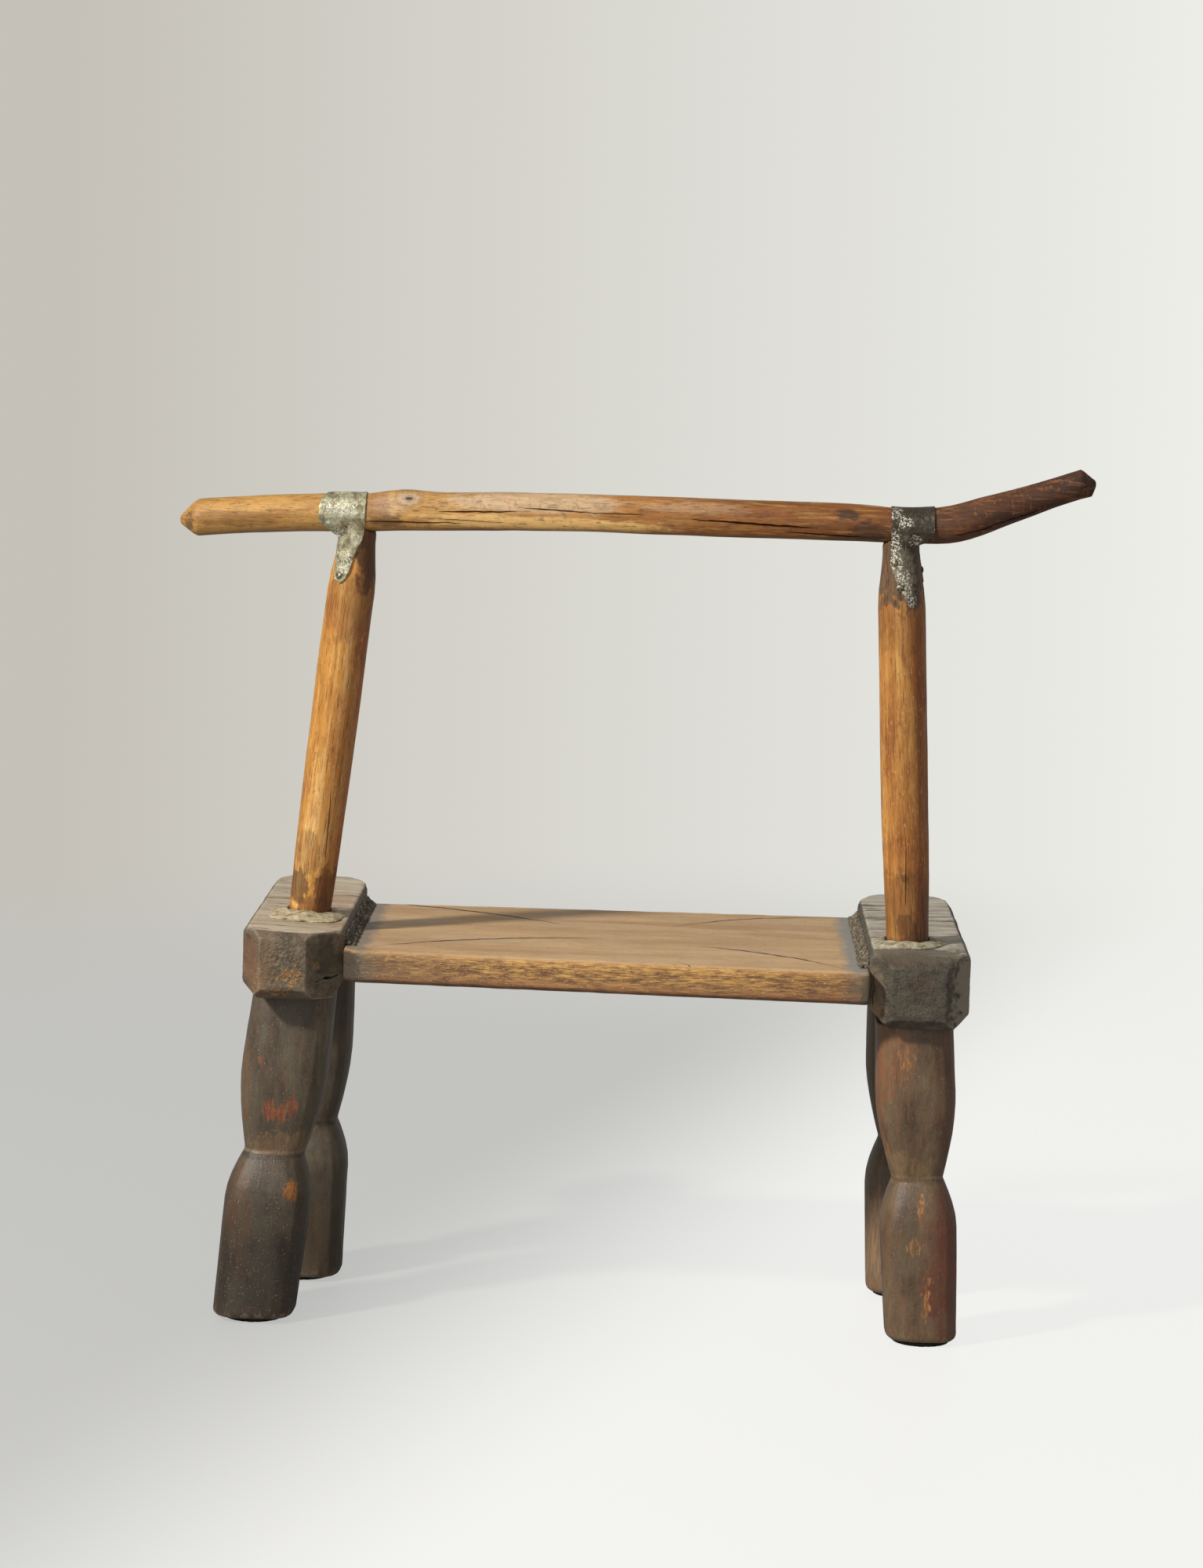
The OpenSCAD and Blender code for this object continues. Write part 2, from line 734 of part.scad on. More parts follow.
// A point of a tongue, draped over post and rail: face is -1 on the near side and 1 on the far side
function tongue_point(side, face, row, v, off) =
    let (
        drop = row[0],
        across = mix(row[1], row[2], v),
        base = post_head(side) - post_dir(side) / post_dir(side).z * drop,
        post_radius = post_r(side, post_run(side) - drop / cos(post_pitch(side))),
        turn = asin(min(wrap_limit, max(-wrap_limit, across / post_radius))),
        on_post = base.y + face * (post_radius + off) * cos(turn) / cos(post_pitch(side)),
        x = base.x + across,
        c = rail_mid(x),
        lift = base.z - c.z,
        reach = rail_r(x) + off,
        on_rail = abs(lift) < reach ? c.y + face * sqrt(reach * reach - lift * lift) : base.y
    )
    face * on_rail > face * on_post
    ? [x, on_rail, base.z]
    : [base.x + (post_radius + off) * sin(turn), on_post, base.z];

// A point of the band round the rail, at an angle up from the near side
function band_point(side, angle, v, off) =
    let (
        row = near_rows(side)[len(near_rows(side)) - 1],
        trim = side == left ? band_trim * pow(sin(angle), 4) : 0,
        x = post_x(side) + mix(row[1] + trim, row[2], v),
        c = rail_mid(x),
        r = rail_r(x) + off
    )
    [x, c.y - r * cos(angle), c.z + r * sin(angle)];

function strap_sheet(side, off) = concat(
    [for (row = near_rows(side)) [for (k = [0:strap_cols]) tongue_point(side, -1, row, k / strap_cols, off)]],
    [for (a = [0:wrap_step:180]) [for (k = [0:strap_cols]) band_point(side, a, k / strap_cols, off)]],
    [for (row = far_rows(side)) [for (k = [0:strap_cols]) tongue_point(side, 1, row, k / strap_cols, off)]]
);

// Closes an inner and an outer sheet of the same grid into one thin solid
module strap(side) {
    inner = strap_sheet(side, strap_gap);
    outer = strap_sheet(side, strap_gap + strap_t);
    rings = [
        for (k = [0:len(inner) - 1])
            concat(inner[k], [for (i = [strap_cols:-1:0]) outer[k][i]])
    ];
    color(side == left ? "darkseagreen" : "gray")
        difference() {
            skin(rings);
            for (nail = strap_nails(side))
                nail_at(side, nail)
                    translate([0, 0, -6])
                        cylinder(d = nail_d + 0.3, h = 12, $fn = 24);
        }
}

// Nails of each strap: distance below the rail's middle along the post, and turn round the post
// from its near side, in degrees
function strap_nails(side) =
    side == left ? [[40.5, -31], [31, 178]]
                 : [[38, -5], [22.5, -19], [30, 112]];

// A frame on the post's surface under the strap, with Z pointing outwards
module nail_at(side, nail) {
    t = post_run(side) - nail[0];
    post_frame(side)
        translate([0, 0, t])
            rotate([90, 0, nail[1]])
                translate([0, 0, post_r(side, t)])
                    children();
}

module nails(side) {
    seat = strap_gap + strap_t + 0.25;
    head_r = (nail_head_d * nail_head_d / 4 + nail_head_t * nail_head_t) / (2 * nail_head_t);
    color("darkgray")
        for (nail = strap_nails(side))
            nail_at(side, nail) {
                translate([0, 0, -nail_l + seat])
                    cylinder(d = nail_d, h = nail_l + 0.3, $fn = 24);
                translate([0, 0, seat])
                    intersection() {
                        translate([0, 0, nail_head_t - head_r])
                            sphere(head_r);
                        cylinder(d = nail_head_d, h = nail_head_t);
                    }
            }
}

// Filler

patty_turns = 36;
patty_rim = 0.6;
patty_clear = 0.7;

function post_inset(side) = side == left ? left_post_inset : right_post_inset;

// Outer radius of the heap at an angle: uneven, and kept off the block's inner arris
function patty_reach(side, a) =
    let (
        spread = side == left ? left_patty_spread : 0,
        free = patty_r * (1 + 0.1 * sin(2 * a + 50) + 0.06 * sin(5 * a)) + spread * pow(max(0, -sin(a)), 2),
        inward = -side * cos(a),
        room = post_inset(side) - arris - 1
    )
    inward > 0 ? min(free, room / inward) : free;

// A point of the heap: s runs from 0 at the post to 1 at the rim, and h is the height on the block
function patty_point(side, a, s, h) =
    let (
        foot = post_foot(side),
        lean = post_dir(side) / post_dir(side).z * h * (1 - s),
        r = mix(post_foot_d / 2 + patty_clear, patty_reach(side, a), s),
        x = foot.x + lean.x + r * cos(a)
    )
    [x, foot.y + lean.y + r * sin(a), top_at(side, side * x - seat_w / 2) + h];

// Height of the heap: highest against the post, lumpy all round
function patty_height(a, s) =
    patty_rim + (patty_h - patty_rim) * (1 - pow(s, 1.7)) * (0.82 + 0.12 * sin(3 * a + 20) + 0.1 * sin(7 * a + 90 * s));

module post_filler(side) {
    shares = [0:0.25:1];
    rings = [
        for (k = [0:patty_turns - 1])
            let (a = 360 * k / patty_turns)
            concat(
                [for (s = shares) patty_point(side, a, s, patty_height(a, s))],
                [patty_point(side, a, 1, 0), patty_point(side, a, 0.5, 0), patty_point(side, a, 0, 0)]
            )
    ];
    color("wheat")
        ring_skin(rings);
}

module seat_filler(side) {
    depth = side == left ? seat_depth_left : seat_depth_right;
    y0 = (side == left ? seat_rear_left : -seat_rear_right) + seat_edge_r;
    start = max(y0, block_y(side) + inner_facet_l(side)) + 2;
    end = min(y0 + depth - 2 * seat_edge_r, block_y(side) + block_l(side) - nose_l) - 4;
    hollow = 11;
    color("black")
        mirror([side == left ? 1 : 0, 0, 0])
            translate([seat_w / 2, end, seat_h])
                rotate([90, 0, 0])
                    linear_extrude(end - start)
                        difference() {
                            translate([-seam_w, 0])
                                square([seam_w, seam_h]);
                            translate([-seam_w - hollow * 0.35, seam_h + hollow * 0.45])
                                circle(hollow);
                        }
}

module place() {
    translate([-middle_x, -middle_y, 0])
        children();
}

place() seat_board();
place() end_block(left);  // left_end_block
place() end_block(right);  // right_end_block
place() leg(left, rear);  // left_rear_leg
place() leg(left, front);  // left_front_leg
place() leg(right, rear);  // right_rear_leg
place() leg(right, front);  // right_front_leg
place() floor_pad(left, rear);  // left_rear_pad
place() floor_pad(left, front);  // left_front_pad
place() floor_pad(right, rear);  // right_rear_pad
place() floor_pad(right, front);  // right_front_pad
place() post(left);  // left_post
place() post(right);  // right_post
place() back_rail();
place() strap(left);  // left_strap
place() strap(right);  // right_strap
place() nails(left);  // left_strap_nails
place() nails(right);  // right_strap_nails
place() post_filler(left);  // left_post_filler
place() post_filler(right);  // right_post_filler
place() seat_filler(left);  // left_seat_filler
place() seat_filler(right);  // right_seat_filler
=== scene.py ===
# Low wooden chair, seen from behind: a pale board between two dark carved blocks on waisted legs,
# with two honey-coloured posts and a bent rail held by nailed strips of old tin.
import json
import math

import bpy
from mathutils import Matrix, Vector

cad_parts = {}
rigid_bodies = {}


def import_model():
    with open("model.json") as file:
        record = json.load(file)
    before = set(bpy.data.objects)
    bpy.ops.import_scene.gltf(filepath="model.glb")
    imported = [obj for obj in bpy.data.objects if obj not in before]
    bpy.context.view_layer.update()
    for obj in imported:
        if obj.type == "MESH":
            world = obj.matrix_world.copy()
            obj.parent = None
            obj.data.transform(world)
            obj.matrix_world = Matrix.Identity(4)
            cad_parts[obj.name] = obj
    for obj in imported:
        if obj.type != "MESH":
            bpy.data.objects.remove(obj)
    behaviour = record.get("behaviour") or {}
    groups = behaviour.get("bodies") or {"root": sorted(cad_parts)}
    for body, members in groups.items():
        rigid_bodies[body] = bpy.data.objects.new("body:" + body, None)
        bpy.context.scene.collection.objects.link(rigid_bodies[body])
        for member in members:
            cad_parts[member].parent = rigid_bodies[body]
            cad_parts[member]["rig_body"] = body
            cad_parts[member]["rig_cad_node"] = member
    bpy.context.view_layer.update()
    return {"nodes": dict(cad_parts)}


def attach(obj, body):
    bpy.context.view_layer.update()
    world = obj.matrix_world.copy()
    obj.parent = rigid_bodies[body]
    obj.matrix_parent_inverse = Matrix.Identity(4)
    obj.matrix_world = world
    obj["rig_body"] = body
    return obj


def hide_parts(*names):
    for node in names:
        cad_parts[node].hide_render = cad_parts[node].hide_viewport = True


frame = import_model()
mm = 0.001


# Small helpers

def hexLinear(code):
    # an sRGB hex colour, turned linear
    parts = [int(code[i:i + 2], 16) / 255 for i in (1, 3, 5)]
    return tuple([p / 12.92 if p <= 0.04045 else ((p + 0.055) / 1.055) ** 2.4 for p in parts] + [1.0])


def plug(tree, node, links):
    # gives each input, by name or number, a value, a colour, a node or a socket
    for name, value in links.items():
        if isinstance(value, bpy.types.Node):
            value = value.outputs[0]
        if isinstance(value, bpy.types.NodeSocket):
            tree.links.new(value, node.inputs[name])
        else:
            node.inputs[name].default_value = hexLinear(value) if isinstance(value, str) else value


def add(tree, kind, links=None, stops=None, **settings):
    # one node with its settings and links, and its stops where it is a ramp
    # a MapRange reads from 1 to 2 and gives 3 to 4
    node = tree.nodes.new("ShaderNode" + kind)
    for name, value in settings.items():
        setattr(node, name, value)
    plug(tree, node, links or {})
    if stops:
        elements = node.color_ramp.elements
        while len(elements) < len(stops):
            elements.new(1.0)
        for element, (place, colour) in zip(elements, stops):
            element.position = place
            element.color = hexLinear(colour) if isinstance(colour, str) else (colour, colour, colour, 1)
    return node


def selectOnly(*pieces):
    bpy.ops.object.select_all(action="DESELECT")
    for piece in pieces:
        piece.select_set(True)
    bpy.context.view_layer.objects.active = pieces[-1]


def applyModifier(piece, kind, **settings):
    # adds one modifier to the piece and applies it
    modifier = piece.modifiers.new(kind.lower(), kind)
    for name, value in settings.items():
        setattr(modifier, name, value)
    selectOnly(piece)
    bpy.ops.object.modifier_apply(modifier=modifier.name)


def evenCopy(node, name, skin):
    # a copy of a CAD solid with an even skin of small faces, its edges worn round by smoothing
    selectOnly(frame["nodes"][node])
    bpy.ops.object.duplicate()
    piece = bpy.context.object
    piece.name = name
    piece.data.name = name
    piece.parent = None
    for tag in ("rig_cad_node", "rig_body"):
        del piece[tag]
    bpy.ops.object.mode_set(mode="EDIT")
    bpy.ops.mesh.select_all(action="SELECT")
    bpy.ops.mesh.remove_doubles(threshold=0.00001)
    bpy.ops.object.mode_set(mode="OBJECT")
    applyModifier(piece, "REMESH", mode="VOXEL", voxel_size=skin["voxel"] * mm, use_smooth_shade=True)
    if skin["smooth"]:
        applyModifier(piece, "SMOOTH", factor=0.5, iterations=skin["smooth"])
    for dent in skin["dents"]:
        dentSkin(piece, **dent)
    return piece


def dentSkin(piece, size, depth, stretch=(1, 1, 1), turn=(0, 0, 0), shift=0):
    # pushes the skin in and out by a noise with real sizes in mm, stretched along the grain
    texture = bpy.data.textures.new("dents", "CLOUDS")
    texture.noise_scale = size * mm
    texture.noise_depth = 2
    bpy.ops.object.empty_add(location=(shift * mm, shift * mm, shift * mm), rotation=turn)
    guide = bpy.context.object
    guide.scale = stretch
    applyModifier(piece, "DISPLACE", texture=texture, texture_coords="OBJECT", texture_coords_object=guide,
                  strength=depth * mm, mid_level=0.5)
    bpy.data.objects.remove(guide)
    bpy.data.textures.remove(texture)


def crackCutter(start, end, width, depth, seed, wander=1.0):
    # a thin ragged blade, pointed at both ends, that lies along a crack
    a, b = Vector(start) * mm, Vector(end) * mm
    bpy.ops.mesh.primitive_uv_sphere_add(segments=12, ring_count=40, radius=1)
    blade = bpy.context.object
    bpy.ops.object.mode_set(mode="EDIT")
    bpy.ops.mesh.select_all(action="SELECT")
    bpy.ops.transform.resize(value=(width * mm / 2, depth * mm, (b - a).length / 2))
    bpy.ops.object.mode_set(mode="OBJECT")
    texture = bpy.data.textures.new("wander", "CLOUDS")
    texture.noise_scale = 0.009  # it bends about once in 9 mm
    for axis, share in (("X", 1.0), ("Y", 0.3)):
        applyModifier(blade, "DISPLACE", texture=texture, texture_coords="LOCAL", direction=axis,
                      strength=wander * share * mm, mid_level=0.5)
    bpy.data.textures.remove(texture)
    bpy.ops.object.mode_set(mode="EDIT")
    bpy.ops.mesh.select_all(action="SELECT")
    bpy.ops.transform.vertex_random(offset=width * 0.12 * mm, seed=seed)
    bpy.ops.object.mode_set(mode="OBJECT")
    return blade, a, b


def layBlade(blade, a, b, inward):
    # turns the blade so that its length follows the crack and its depth points into the wood
    along = (b - a).normalized()
    deep = (Vector(inward) - along * Vector(inward).dot(along)).normalized()
    turn = Matrix((deep.cross(along), deep, along)).transposed().to_4x4()
    blade.matrix_world = Matrix.Translation((a + b) / 2) @ turn


def onSkin(piece, point):
    # the nearest place on the piece, in mm
    return piece.closest_point_on_mesh(Vector(point) * mm)[1] / mm


def cutCracks(piece, cracks):
    # each crack: start, end, the way into the wood, width, depth, seed and how far it wanders, in mm
    for start, end, inward, *blade in cracks:
        cutter, a, b = crackCutter(onSkin(piece, start), onSkin(piece, end), *blade)
        layBlade(cutter, a, b, inward)
        bpy.context.view_layer.update()
        applyModifier(piece, "BOOLEAN", operation="DIFFERENCE", solver="MANIFOLD", object=cutter)
        bpy.data.objects.remove(cutter)


def makePiece(node, name, skin, material, cracks=()):
    # the dressed piece that stands for a CAD node: smooth faces and one material
    piece = evenCopy(node, name, skin)
    cutCracks(piece, cracks)
    selectOnly(piece)
    bpy.ops.object.shade_smooth_by_angle(angle=math.radians(50))
    piece.data.materials.clear()
    piece.data.materials.append(material)
    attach(piece, "root")
    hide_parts(node)


# Pattern helpers, with sizes in mm

def streaks(tree, place, grain, seed=0, detail=3, rough=0.6):
    # noise whose blotches measure grain = (x, y, z), so that it can run with the wood
    mapped = add(tree, "Mapping",
                 {"Vector": place, "Scale": [1000 / g for g in grain],
                  "Location": (seed * 3.1, seed * 1.7, seed * 2.3)})
    return add(tree, "TexNoise", {"Vector": mapped, "Scale": 1, "Detail": detail, "Roughness": rough})


def patch(tree, place, centre, half, seed=0, ragged=0.8, grain=(4, 4, 4)):
    # 1 in an ellipsoid with these half sizes, falling to 0 at its edge, which noise breaks up
    inside = add(tree, "Mapping",
                 {"Vector": place, "Location": [c * mm for c in centre], "Scale": [h * mm for h in half]},
                 vector_type="TEXTURE")
    far = add(tree, "VectorMath", {0: inside}, operation="LENGTH").outputs["Value"]
    noise = streaks(tree, place, grain, seed)
    uneven = add(tree, "Math", {0: noise, 1: ragged * 2, 2: far}, operation="MULTIPLY_ADD")
    return add(tree, "MapRange", {0: uneven, 1: ragged + 0.75, 2: ragged + 1.1, 3: 1, 4: 0},
               interpolation_type="SMOOTHSTEP")


def wavy(tree, place, grain, seed, swing, straight, detail=4, rough=0.6):
    # a coordinate that wanders by this swing, so that what is drawn along it isn't straight
    noise = streaks(tree, place, grain, seed, detail, rough)
    return add(tree, "Math", {0: noise, 1: swing, 2: straight}, operation="MULTIPLY_ADD")


def awayFrom(tree, value, level):
    # how far a value is from a level, above or below it
    off = add(tree, "Math", {0: value, 1: level}, operation="SUBTRACT")
    return add(tree, "Math", {0: off}, operation="ABSOLUTE")


def glaze(tree, colour, pattern, low, high, share, tone):
    # a thin coat of another tone, from none where the pattern is low to this share where it is high
    amount = add(tree, "MapRange", {0: pattern, 1: low, 2: high, 3: 0, 4: share})
    return add(tree, "MixRGB", {"Fac": amount, "Color1": colour, "Color2": tone})


def shade(tree, colour, pattern, greys, share):
    # darkens the colour by the greys that the pattern runs through
    grey = add(tree, "ValToRGB", {0: pattern}, greys)
    return add(tree, "MixRGB", {"Fac": share, "Color1": colour, "Color2": grey}, blend_type="MULTIPLY")


def paint(tree, place, colour, spot, seed, ragged, grain, within=None):
    # one ragged spot of another tone: its centre, half size, share and tone, broken up by a finer pattern
    centre, half, share, tone = spot
    amount = patch(tree, place, centre, half, seed, ragged, grain)
    for part in (share, within):
        if part is not None:
            amount = add(tree, "Math", {0: amount, 1: part}, operation="MULTIPLY")
    return add(tree, "MixRGB", {"Fac": amount, "Color1": colour, "Color2": tone})


def newMaterial(name):
    material = bpy.data.materials.new(name)
    material.use_nodes = True
    tree = material.node_tree
    place = add(tree, "TexCoord").outputs["Object"]
    return material, tree, tree.nodes["Principled BSDF"], place


def dress(tree, surface, colour, gloss, relief, strength, depth):
    # the finished colour, roughness and fine relief go onto the surface
    bump = add(tree, "Bump", {"Height": relief, "Strength": strength, "Distance": depth})
    plug(tree, surface, {"Base Color": colour, "Roughness": gloss, "Normal": bump})


# Camera, lamps and the pale floor

studio = {
    "cameraPlace": (0.03225, -2.9355, 0.706),
    "cameraPitch": 6.89,  # degrees down
    "cameraYaw": 0.98,  # degrees to the left
    "cameraRoll": 2.01,
    "lens": 100.0,
    "lampTarget": (0, 0, 0.25),
    # place, power, size and colour of each lamp
    "keyLamp": ((-1.97, -1.80, 2.19), 100.0, 0.26, "#fffaf2"),
    "fillLamp": ((-0.4, -3.6, 1.2), 12.0, 1.6, "#fafafc"),
    "ambient": 0.30,
    "ambientColour": "#fbfaf6",
    "backdropLeft": "#c5c1b8",
    "backdropRight": "#f0f1ec",
    "floorRadius": 2.6,
    "floorFades": (0.75, 2.3),  # it thins out from here to here, and has no edge against the backdrop
    "floorColour": "#a3a3a1",  # what lights the chair from below
    "floorSeen": "#5a5a58",
    "floorGlow": "#fbfbf9",
    "floorLift": 0.82,  # brightness that only the eye sees, so that the shadows stay pale
}


def makeCamera():
    camera = bpy.data.objects.new("photoCamera", bpy.data.cameras.new("photoCamera"))
    bpy.context.scene.collection.objects.link(camera)
    camera.data.lens = studio["lens"]
    turn = Matrix.Rotation(math.radians(studio["cameraYaw"]), 4, "Z")
    tip = Matrix.Rotation(math.radians(90 - studio["cameraPitch"]), 4, "X")
    roll = Matrix.Rotation(math.radians(studio["cameraRoll"]), 4, "Z")
    camera.matrix_world = Matrix.Translation(studio["cameraPlace"]) @ turn @ tip @ roll
    camera.data.clip_start = 0.05
    bpy.context.scene.camera = camera


def softLamp(name):
    place, power, size, colour = studio[name]
    lamp = bpy.data.lights.new(name, "AREA")
    lamp.energy = power
    lamp.size = size
    lamp.color = hexLinear(colour)[:3]
    holder = bpy.data.objects.new(name, lamp)
    holder.location = place
    aim = Vector(studio["lampTarget"]) - Vector(place)
    holder.rotation_euler = aim.to_track_quat("-Z", "Y").to_euler()
    bpy.context.scene.collection.objects.link(holder)


def makeWorld():
    # a plain level for lighting, and the pale backdrop where it is seen directly or through something clear
    world = bpy.data.worlds.new("paleRoom")
    bpy.context.scene.world = world
    world.use_nodes = True
    tree = world.node_tree
    tree.nodes.clear()
    rays = add(tree, "LightPath")
    # painted light: the backdrop grows paler to the right
    toLeft = add(tree, "SeparateXYZ", {0: add(tree, "TexCoord").outputs["Generated"]})
    across = add(tree, "MapRange", {0: toLeft.outputs["X"], 1: -0.14, 2: 0.14})
    colour = add(tree, "MixRGB",
                 {"Fac": across, "Color1": studio["backdropLeft"], "Color2": studio["backdropRight"]})
    seen = add(tree, "Background", {"Color": colour, "Strength": 1.0})
    lit = add(tree, "Background", {"Color": studio["ambientColour"], "Strength": studio["ambient"]})
    eye = add(tree, "Math", {0: rays.outputs["Is Camera Ray"], 1: rays.outputs["Is Transmission Ray"]},
              operation="MAXIMUM")
    both = add(tree, "MixShader", {0: eye, 1: lit, 2: seen})
    add(tree, "OutputWorld", {"Surface": both})


def makeFloor():
    bpy.ops.mesh.primitive_circle_add(vertices=96, radius=studio["floorRadius"],
                                      fill_type="NGON", location=(0, 0.2, 0))
    floor = bpy.context.object
    floor.name = "paleFloor"
    selectOnly(floor)
    bpy.ops.object.transform_apply(location=True)
    material, tree, surface, place = newMaterial("pale matt floor paint")
    eye = add(tree, "LightPath").outputs["Is Camera Ray"]
    colour = add(tree, "MixRGB",
                 {"Fac": eye, "Color1": studio["floorColour"], "Color2": studio["floorSeen"]})
    # painted light: paler to the right and on the viewer's side, as the backdrop is
    spot = add(tree, "SeparateXYZ", {0: place})
    slant = add(tree, "Math", {0: spot.outputs["Y"], 1: -0.28, 2: spot.outputs["X"]},
                operation="MULTIPLY_ADD")
    lift = studio["floorLift"]
    level = add(tree, "MapRange", {0: slant, 1: -0.26, 2: 0.12, 3: lift - 0.35, 4: lift},
                interpolation_type="SMOOTHSTEP")
    seen = add(tree, "Math", {0: eye, 1: level}, operation="MULTIPLY")
    far = add(tree, "VectorMath", {0: place}, operation="LENGTH").outputs["Value"]
    near, edge = studio["floorFades"]
    fade = add(tree, "MapRange", {0: far, 1: near, 2: edge, 3: 1, 4: 0}, interpolation_type="SMOOTHSTEP")
    plug(tree, surface, {"Base Color": colour, "Roughness": 0.55, "Specular IOR Level": 0.25, "Alpha": fade,
                         "Emission Color": studio["floorGlow"], "Emission Strength": seen})
    floor.data.materials.append(material)


bpy.context.scene.view_settings.view_transform = "Standard"
makeCamera()
softLamp("keyLamp")
softLamp("fillLamp")
makeWorld()
makeFloor()
print("stage: camera, lamps and floor ready")


# Posts: peeled hardwood poles, rubbed by hands to a honey polish with a soft sheen over fine fibres

postLook = {
    "fleck": "#5f3618", "glint": "#e6c187", "red": "#8e431a", "scuff": "#7c4722", "dirt": "#3f2a1b",
    "voxel": 1.3, "smooth": 3,
}
posts = {
    # foot and head are the ends of the pole's axis; a stain has a centre, half size, share and tone;
    # the dark spots low on the right of each foot are a painted shadow, not a stain
    "left_post": {
        "name": "leftPost", "seed": 1, "foot": (-209.75, -56.5, 263.0), "head": (-178.25, -109.5, 536.0),
        "pale": "#f8c77c", "honey": "#e0a24e", "brown": "#c28339", "cloud": "#b56f32", "shadeSideRed": 0.7,
        "stainsAndShadow": [
            ((-217, -72, 284), (8, 16, 13), 0.75, "#583820"),
            # a painted shadow: the next two, on the foot's bottom and its right half
            ((-204, -74, 270), (16, 16, 9), 0.6, "#74472c"),
            ((-196, -70, 278), (11, 20, 22), 0.75, "#643a22"),
            ((-209, -74, 309), (9, 16, 20), 0.45, "#96602f"),
            ((-170, -118, 510), (11, 22, 32), 0.85, "#522f1c"),
            ((-182, -112, 474), (24, 20, 26), 0.35, "#82502a"),
        ],
        "cracks": [((-196, -82, 300), (-193, -93, 352), (0.3, 1, 0.2), 0.7, 1.8, 3)],
    },
    "right_post": {
        "name": "rightPost", "seed": 2, "foot": (189.25, -87.5, 262.6), "head": (171.25, -115.5, 540.4),
        "pale": "#dfa75a", "honey": "#c2843f", "brown": "#a2672f", "cloud": "#985326", "shadeSideRed": 0.55,
        "stainsAndShadow": [
            ((187, -104, 277), (7, 16, 9), 0.6, "#4a3423"), ((194, -102, 267), (9, 16, 7), 0.6, "#553d29"),
            ((174, -116, 478), (30, 24, 22), 0.35, "#8c5026"),
            ((172, -118, 514), (26, 26, 28), 0.85, "#5f5041"),
            # on the next line, the second spot, low on the right of the foot, is a painted shadow
            ((184, -104, 310), (3, 6, 4), 0.7, "#4a2f1c"), ((199, -98, 278), (9, 20, 26), 0.5, "#6b3f24"),
            ((188, -104, 284), (26, 24, 34), 0.5, "#7e4a27"),
        ],
        "cracks": [((186, -107, 290), (184, -112, 338), (0, 1, 0.1), 0.6, 1.6, 5)],
    },
}


def poleTurn(look):
    direction = (Vector(look["head"]) - Vector(look["foot"])).normalized()
    return (-math.asin(direction.y), math.atan2(direction.x, direction.z), 0)


def polishedPole(look):
    seed = look["seed"]
    title = look["name"].replace("Post", " post, hand-polished pole")
    material, tree, surface, place = newMaterial(title)
    own = add(tree, "Mapping",
              {"Vector": place, "Location": [c * mm for c in look["foot"]], "Rotation": poleTurn(look)},
              vector_type="TEXTURE")
    parts = add(tree, "SeparateXYZ", {0: own})
    # soft bands of early and late wood, running up the pole
    bands = streaks(tree, own, (8, 8, 150), seed, 3)
    colour = add(tree, "ValToRGB", {0: bands},
                 [(0.36, look["brown"]), (0.5, look["honey"]), (0.64, look["pale"])])
    # browner clouds where hands have darkened the polish, and a painted shade: redder and darker
    # on the side away from the light
    clouds = streaks(tree, own, (14, 14, 42), seed + 7, 5, 0.65)
    colour = glaze(tree, colour, clouds, 0.47, 0.62, 0.55, look["cloud"])
    colour = glaze(tree, colour, parts.outputs["X"], -0.004, 0.014, look["shadeSideRed"], postLook["red"])
    # fibres under a millimetre wide
    fibres = streaks(tree, own, (1.0, 1.0, 19), seed + 1, 5, 0.74)
    colour = shade(tree, colour, fibres, [(0.34, 0.62), (0.47, 0.93), (0.6, 1.0)], 0.9)
    # short dark pores and pale glints, like pen strokes along the grain
    pores = streaks(tree, own, (0.8, 0.8, 16), seed + 2, 3, 0.55)
    pore = add(tree, "MapRange", {0: pores, 1: 0.57, 2: 0.64, 3: 0, 4: 0.6})
    colour = add(tree, "MixRGB", {"Fac": pore, "Color1": colour, "Color2": postLook["fleck"]})
    glints = streaks(tree, own, (0.9, 0.9, 4), seed + 6, 1)
    colour = glaze(tree, colour, glints, 0.64, 0.70, 0.4, postLook["glint"])
    scuffs = streaks(tree, own, (4, 4, 8), seed + 3, 5, 0.75)
    colour = glaze(tree, colour, scuffs, 0.58, 0.64, 0.42, postLook["scuff"])
    # stains, with dirt between their fibres, and a painted shadow low on each foot
    between = add(tree, "MapRange", {0: fibres, 1: 0.42, 2: 0.52})
    for *spot, tone in look["stainsAndShadow"]:
        spotTone = add(tree, "MixRGB", {"Fac": between, "Color1": postLook["dirt"], "Color2": tone})
        colour = paint(tree, place, colour, (*spot, spotTone), seed + 8, 0.7, (4, 4, 7))
    # a thin dark line where the putty begins
    low = wavy(tree, own, (4, 4, 6), seed + 4, 0.008, parts.outputs["Z"])
    colour = glaze(tree, colour, low, 0.012, 0.007, 0.8, postLook["dirt"])
    gloss = add(tree, "MapRange",
                {0: streaks(tree, own, (12, 12, 40), seed + 5), 1: 0.3, 2: 0.7, 3: 0.38, 4: 0.58})
    relief = add(tree, "Math", {0: pore, 1: -0.8, 2: fibres}, operation="MULTIPLY_ADD")
    dress(tree, surface, colour, gloss, relief, 0.5, 0.0006)
    return material


for node, look in posts.items():
    turn, seed = poleTurn(look), look["seed"]
    skin = {"voxel": postLook["voxel"], "smooth": postLook["smooth"], "dents": [
        {"size": 34, "depth": 1.1, "stretch": (1, 1, 2.5), "turn": turn, "shift": seed * 40},
        {"size": 7, "depth": 0.22, "stretch": (1, 1, 5), "turn": turn, "shift": seed * 17},
    ]}
    makePiece(node, look["name"], skin, polishedPole(look), look["cracks"])
print("stage: posts ready")


# Back rail: a bent branch with a knot, golden at the left and browner towards the upturned end, with
# the uneven shine of long handling

